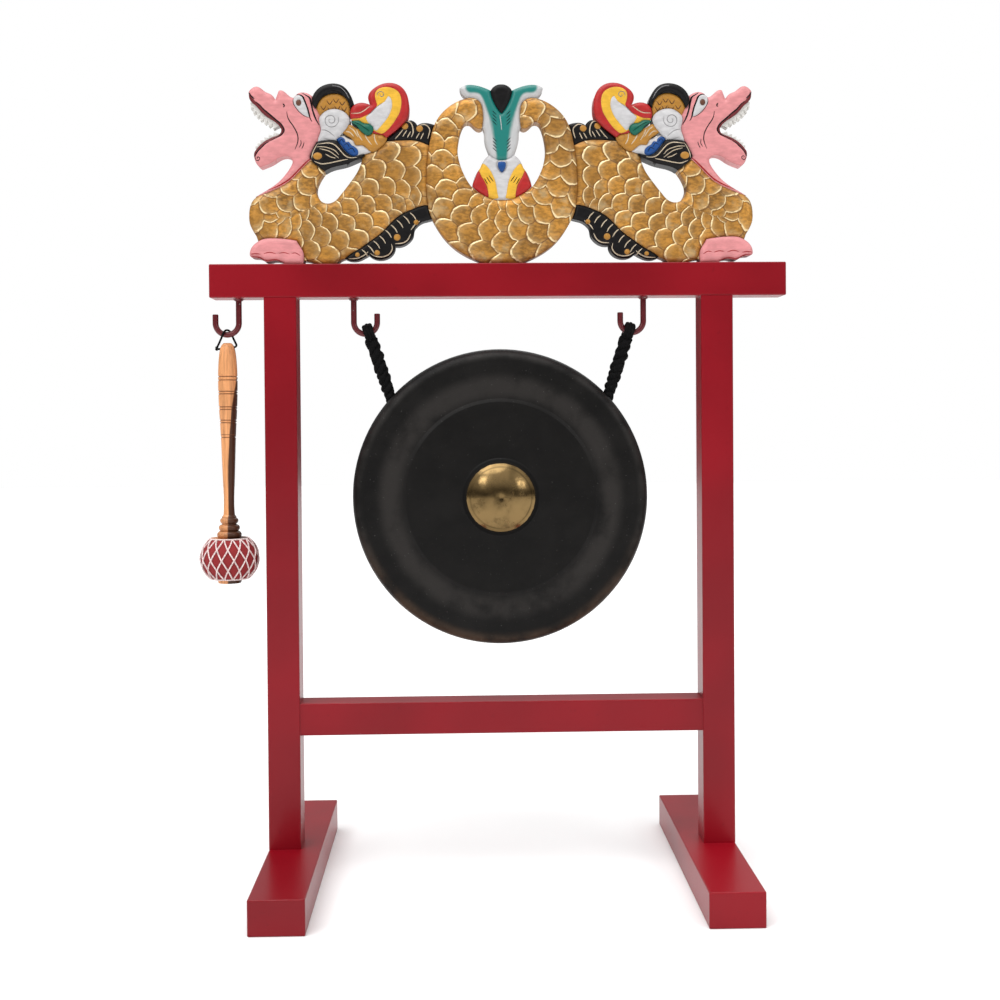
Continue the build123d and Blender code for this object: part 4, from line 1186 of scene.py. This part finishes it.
def carved_piece(name, node_names, carving, back, paints, materials, body_slot):
    """Makes one or two solid pieces of a carving: the left one and its mirror image."""
    flat, triangles, paint, height, facts, course = carving
    count = len(flat)
    rim = {}
    for triangle, tone in zip(triangles, paint):
        for start, end in zip(triangle, np.roll(triangle, -1)):
            rim.setdefault(frozenset((int(start), int(end))), []).append((int(start), int(end), int(tone)))
    walls = [used[0] for used in rim.values() if len(used) == 1]
    faces = [tuple(int(index) for index in triangle) for triangle in triangles]
    faces += [tuple(int(index) + count for index in triangle[::-1]) for triangle in triangles]
    faces += [(end, start, start + count, end + count) for start, end, tone in walls]
    tones = [*paint, *paint, *[tone for start, end, tone in walls]]
    for made_name, node, to_frame in node_names:
        vertices = []
        for face_side in (-1, 1):
            for (x, z), reach in zip(flat, height):
                vertices.append(Vector((to_frame(x), face_side * reach * MM, BEAM_TOP + z * MM)))
        piece = new_piece(made_name, vertices, faces, materials, tones)
        for key, values in (("carving", facts), ("flow", course)):
            layer = piece.data.attributes.new(key, "FLOAT_VECTOR", "POINT")
            layer.data.foreach_set("vector", np.vstack((values, values)).astype(np.float32).ravel())
        put_on(piece, "root", body_slot, node)


def crest_materials():
    """The crest's paints by name."""
    look = settings("gong_crest")
    plain = {"pink": look.pink, "white": look.white, "black": look.black, "red": look.red, "yellow": look.yellow,
             "blue": look.blue, "green": look.green, "cream": look.cream_line, "groove": look.groove,
             "brown": (0.12, 0.045, 0.025), "lining": (0.15, 0.009, 0.013), "tan": shade(look.gold, 0.92),
             # 'shade' is a grey paint: painted shade in the cut lines on white, and a painted highlight along the
             # black ear arch.
             "shade": shade(look.white, 0.62),
             "shade_green": shade(look.green, 0.35), "enamel": (0.80, 0.78, 0.74)}
    made = {name: brush_paint(f"{name}_paint", tuple(tone)) for name, tone in plain.items()}
    made["gold"] = gold_scales()
    made["plume"] = plume_paint()
    return made


def left_x(x):
    """Frame x of a place on the left dragon."""
    return CREST_X - DRAGON_REACH + x * MM


def right_x(x):
    """Frame x of a place on the right dragon."""
    return CREST_X + DRAGON_REACH - x * MM


def centre_x(x):
    """Frame x of a place on the crest's middle pieces."""
    return CREST_X + x * MM


def dragon_place(x, z):
    """A frame place in the left dragon's own millimetres."""
    return (x - CREST_X + DRAGON_REACH) / MM, (z - BEAM_TOP) / MM


def centre_place(x, z):
    """A frame place in the crest's middle millimetres."""
    return (x - CREST_X) / MM, (z - BEAM_TOP) / MM


dragon_looks = {
    "dragon_head": ("pink", "pink_paint", 3.4), "ear_arch": ("black", "black_paint", 3.0),
    "ear_shell": ("tan", "gold_paint", 2.4), "cheek_puff": ("white", "white_paint", 3.6),
    "horn": ("red", "horn_paint", 3.0), "leaf": ("green", "green_paint", 3.2),
    "neck_collar": ("tan", "gold_paint", 2.8), "neck_frill": ("white", "blue_paint", 2.4),
    "mane": ("black", "black_paint", 2.8), "back_fin": ("black", "black_paint", 2.2),
    "belly_fin": ("black", "black_paint", 2.2), "claw": ("pink", "pink_paint", 3.0),
    "dragon_body": ("gold", "gold_paint", 4.2),
}


class GONG_OT_dragons(bpy.types.Operator):
    """Carves and paints both dragons"""
    bl_idname = "gong.dragons"
    bl_label = "Dragons"

    def execute(self, context):
        made = crest_materials()
        for part, (base, body_slot, crown) in dragon_looks.items():
            marks = dragon_marks[part]
            paints = [base, *sorted({mark["paint"] for mark in marks} - {base})]
            flow = BODY_FLOW if part == "dragon_body" else None
            carving = carve(f"left_{part}", dragon_place, marks, paints, base, crown, flow, None,
                            BODY_COARSE)
            carved_piece(part, [(f"left_{part}_carving", f"left_{part}", left_x),
                                (f"right_{part}_carving", f"right_{part}", right_x)],
                         carving, True, paints, [made[name] for name in paints], body_slot)
        for side in ("left", "right"):
            finish_node(f"{side}_dragon_teeth", made["enamel"])
        return {"FINISHED"}


def plume_fade(flat):
    """How far into the plume's teal middle each point is."""
    spine = smooth_line([(0, 124), (0, 150), (-1, 170), (-9, 190), (-18, 205), (-28, 210.5), (-36, 211)])
    other = smooth_line([(0, 150), (1, 170), (9, 190), (18, 205), (28, 210.5), (36, 211)])
    away = nearest([tuple(point) for point in spine + other], flat)
    widening = 0.62 + 0.52 * np.clip((flat[:, 1] - 130) / 35, 0, 1)
    widening *= 1 - 0.42 * np.clip((np.abs(flat[:, 0]) - 14) / 12, 0, 1)
    return np.clip(1.95 - away / (7.2 * widening), 0, 1)


class GONG_OT_crest_middle(bpy.types.Operator):
    """Carves and paints the coil, plume, bud, drop and petals"""
    bl_idname = "gong.crest_middle"
    bl_label = "Crest middle"

    def execute(self, context):
        made = crest_materials()
        for node, base, slot_name, crown, marks, flow, fade in (
                ("tail_coil", "gold", "gold_paint", 5.0, [], COIL_FLOW, None),
                ("tail_plume", "plume", "teal_paint", 2.8, plume_marks, None, plume_fade),
                ("plume_bud", "black", "black_paint", 3.2, [], None, None),
                ("plume_drop", "white", "blue_paint", 1.6, drop_marks, None, None),
                ("petal_skirt", "white", "petal_paint", 2.6, petal_marks, None, None)):
            paints = [base, *sorted({mark["paint"] for mark in marks} - {base})]
            carving = carve(node, centre_place, marks, paints, base, crown, flow, fade, COIL_COARSE)
            carved_piece(node, [(f"{node}_carving", node, centre_x)], carving, True, paints,
                         [made[name] for name in paints], slot_name)
        return {"FINISHED"}


# ---------------------------------------------------------------- stage
ROOM_LIGHT = (0.0, 0.60, 0.05, 0.85)
BACKDROP_LIGHT = 1.0
CAMERA_PLACE = Vector((-0.03536, -1.65746, 0.56093))
CAMERA_YAW, CAMERA_PITCH, CAMERA_ROLL = 0.0269, 0.0151, -0.0074
CAMERA_LENS, CAMERA_SHIFT = 49.3, -0.0666


def soft_light(name, place, aim, size, power):
    """A large square soft light."""
    lamp = bpy.data.lights.new(name, "AREA")
    lamp.size = size
    lamp.energy = power
    light = bpy.data.objects.new(name, lamp)
    light.location = place
    light.rotation_euler = (Vector(aim) - Vector(place)).to_track_quat("-Z", "Y").to_euler()
    bpy.context.collection.objects.link(light)


class GONG_OT_stage(bpy.types.Operator):
    """Sets up the floor, the soft lights and the camera"""
    bl_idname = "gong.stage"
    bl_label = "Stage"

    def execute(self, context):
        finish = Finish("floor_paper")
        vector, x, y, z = finish.place()
        paper = finish.noise(vector, 3.0)
        finish.done(Base_Color=finish.mix(paper, (0.86, 0.86, 0.86), (0.89, 0.89, 0.89)),
                    Roughness=0.85 + 0.05 * paper)
        reach = 9.0
        floor_sheet = new_piece("floor", [(-reach, -reach, 0), (reach, -reach, 0), (reach, reach, 0),
                                          (-reach, reach, 0)], [(0, 1, 2, 3)], [finish.material])
        world = bpy.data.worlds.new("studio")
        world.use_nodes = True
        sky = world.node_tree.nodes["Background"]
        sky.inputs["Color"].default_value = (1, 1, 1, 1)
        nodes, link = world.node_tree.nodes, world.node_tree.links.new
        toward, parts, rise = (nodes.new(f"ShaderNode{kind}") for kind in ("TexCoord", "SeparateXYZ", "MapRange"))
        seen, strength = nodes.new("ShaderNodeLightPath"), nodes.new("ShaderNodeMapRange")
        rise.interpolation_type = "SMOOTHSTEP"
        for key, value in zip(("From Min", "From Max", "To Min", "To Max"), ROOM_LIGHT):
            rise.inputs[key].default_value = value
        strength.inputs["To Max"].default_value = BACKDROP_LIGHT
        link(toward.outputs["Generated"], parts.inputs[0])
        link(parts.outputs["Z"], rise.inputs["Value"])
        link(rise.outputs["Result"], strength.inputs["To Min"])
        link(seen.outputs["Is Camera Ray"], strength.inputs["Value"])
        link(strength.outputs["Result"], sky.inputs["Strength"])
        context.scene.world = world
        context.scene.view_settings.view_transform = "Standard"
        sun = bpy.data.lights.new("sky_panel", "SUN")
        sun.energy = 2.1
        sun.angle = radians(55)
        panel = bpy.data.objects.new("sky_panel", sun)
        panel.rotation_euler = Vector((-0.30, -0.42, 1.6)).to_track_quat("Z", "Y").to_euler()
        context.collection.objects.link(panel)
        soft_light("key_light", (-1.6, -2.0, 2.0), (0, 0, 0.5), 0.75, 12)
        soft_light("fill_light", (1.8, -1.8, 1.6), (0, 0, 0.5), 0.75, 9)
        soft_light("rim_light", (0.3, 2.2, 2.2), (0, 0, 0.6), 1.6, 9)
        right = Vector((cos(CAMERA_YAW), -sin(CAMERA_YAW), 0))
        level = Vector((sin(CAMERA_YAW), cos(CAMERA_YAW), 0))
        forward = level * cos(CAMERA_PITCH) - Vector((0, 0, 1)) * sin(CAMERA_PITCH)
        upright = level * sin(CAMERA_PITCH) + Vector((0, 0, 1)) * cos(CAMERA_PITCH)
        across = right * cos(CAMERA_ROLL) + upright * sin(CAMERA_ROLL)
        up = upright * cos(CAMERA_ROLL) - right * sin(CAMERA_ROLL)
        lens = bpy.data.cameras.new("camera")
        lens.lens = CAMERA_LENS
        lens.sensor_width = 36
        lens.shift_y = CAMERA_SHIFT
        camera = bpy.data.objects.new("camera", lens)
        camera.matrix_world = Matrix.Translation(CAMERA_PLACE) @ Matrix((across, up, -forward)).transposed().to_4x4()
        context.collection.objects.link(camera)
        context.scene.camera = camera
        return {"FINISHED"}


# ---------------------------------------------------------------- add-on
STEPS = [GONG_OT_stage, GONG_OT_stand, GONG_OT_gong, GONG_OT_gong_cords, GONG_OT_beater, GONG_OT_crest_middle,
         GONG_OT_dragons]
GROUPS = {"gong_stand": StandSettings, "gong_gong": GongSettings, "gong_beater": BeaterSettings,
          "gong_crest": CrestSettings}


class GONG_PT_panel(bpy.types.Panel):
    """Lists the steps that build the gong"""
    bl_idname = "GONG_PT_panel"
    bl_label = "Tam tam gong"
    bl_space_type = "VIEW_3D"
    bl_region_type = "UI"
    bl_category = "Gong"

    def draw(self, context):
        for step in STEPS:
            self.layout.operator(step.bl_idname)
        for name, group in GROUPS.items():
            box = self.layout.box()
            for key in group.__annotations__:
                box.prop(getattr(context.scene, name), key)


def register():
    """Adds the settings, steps and panel."""
    for group in GROUPS.values():
        bpy.utils.register_class(group)
    for name, group in GROUPS.items():
        setattr(bpy.types.Scene, name, PointerProperty(type=group))
    for step in [*STEPS, GONG_PT_panel]:
        bpy.utils.register_class(step)


def unregister():
    """Takes the settings, steps and panel away again."""
    for step in [GONG_PT_panel, *reversed(STEPS)]:
        bpy.utils.unregister_class(step)
    for name in GROUPS:
        delattr(bpy.types.Scene, name)
    for group in reversed(GROUPS.values()):
        bpy.utils.unregister_class(group)


def main():
    """Builds everything."""
    register()
    for step in STEPS:
        area, name = step.bl_idname.split(".")
        getattr(getattr(bpy.ops, area), name)()


if __name__ == "__main__":
    main()
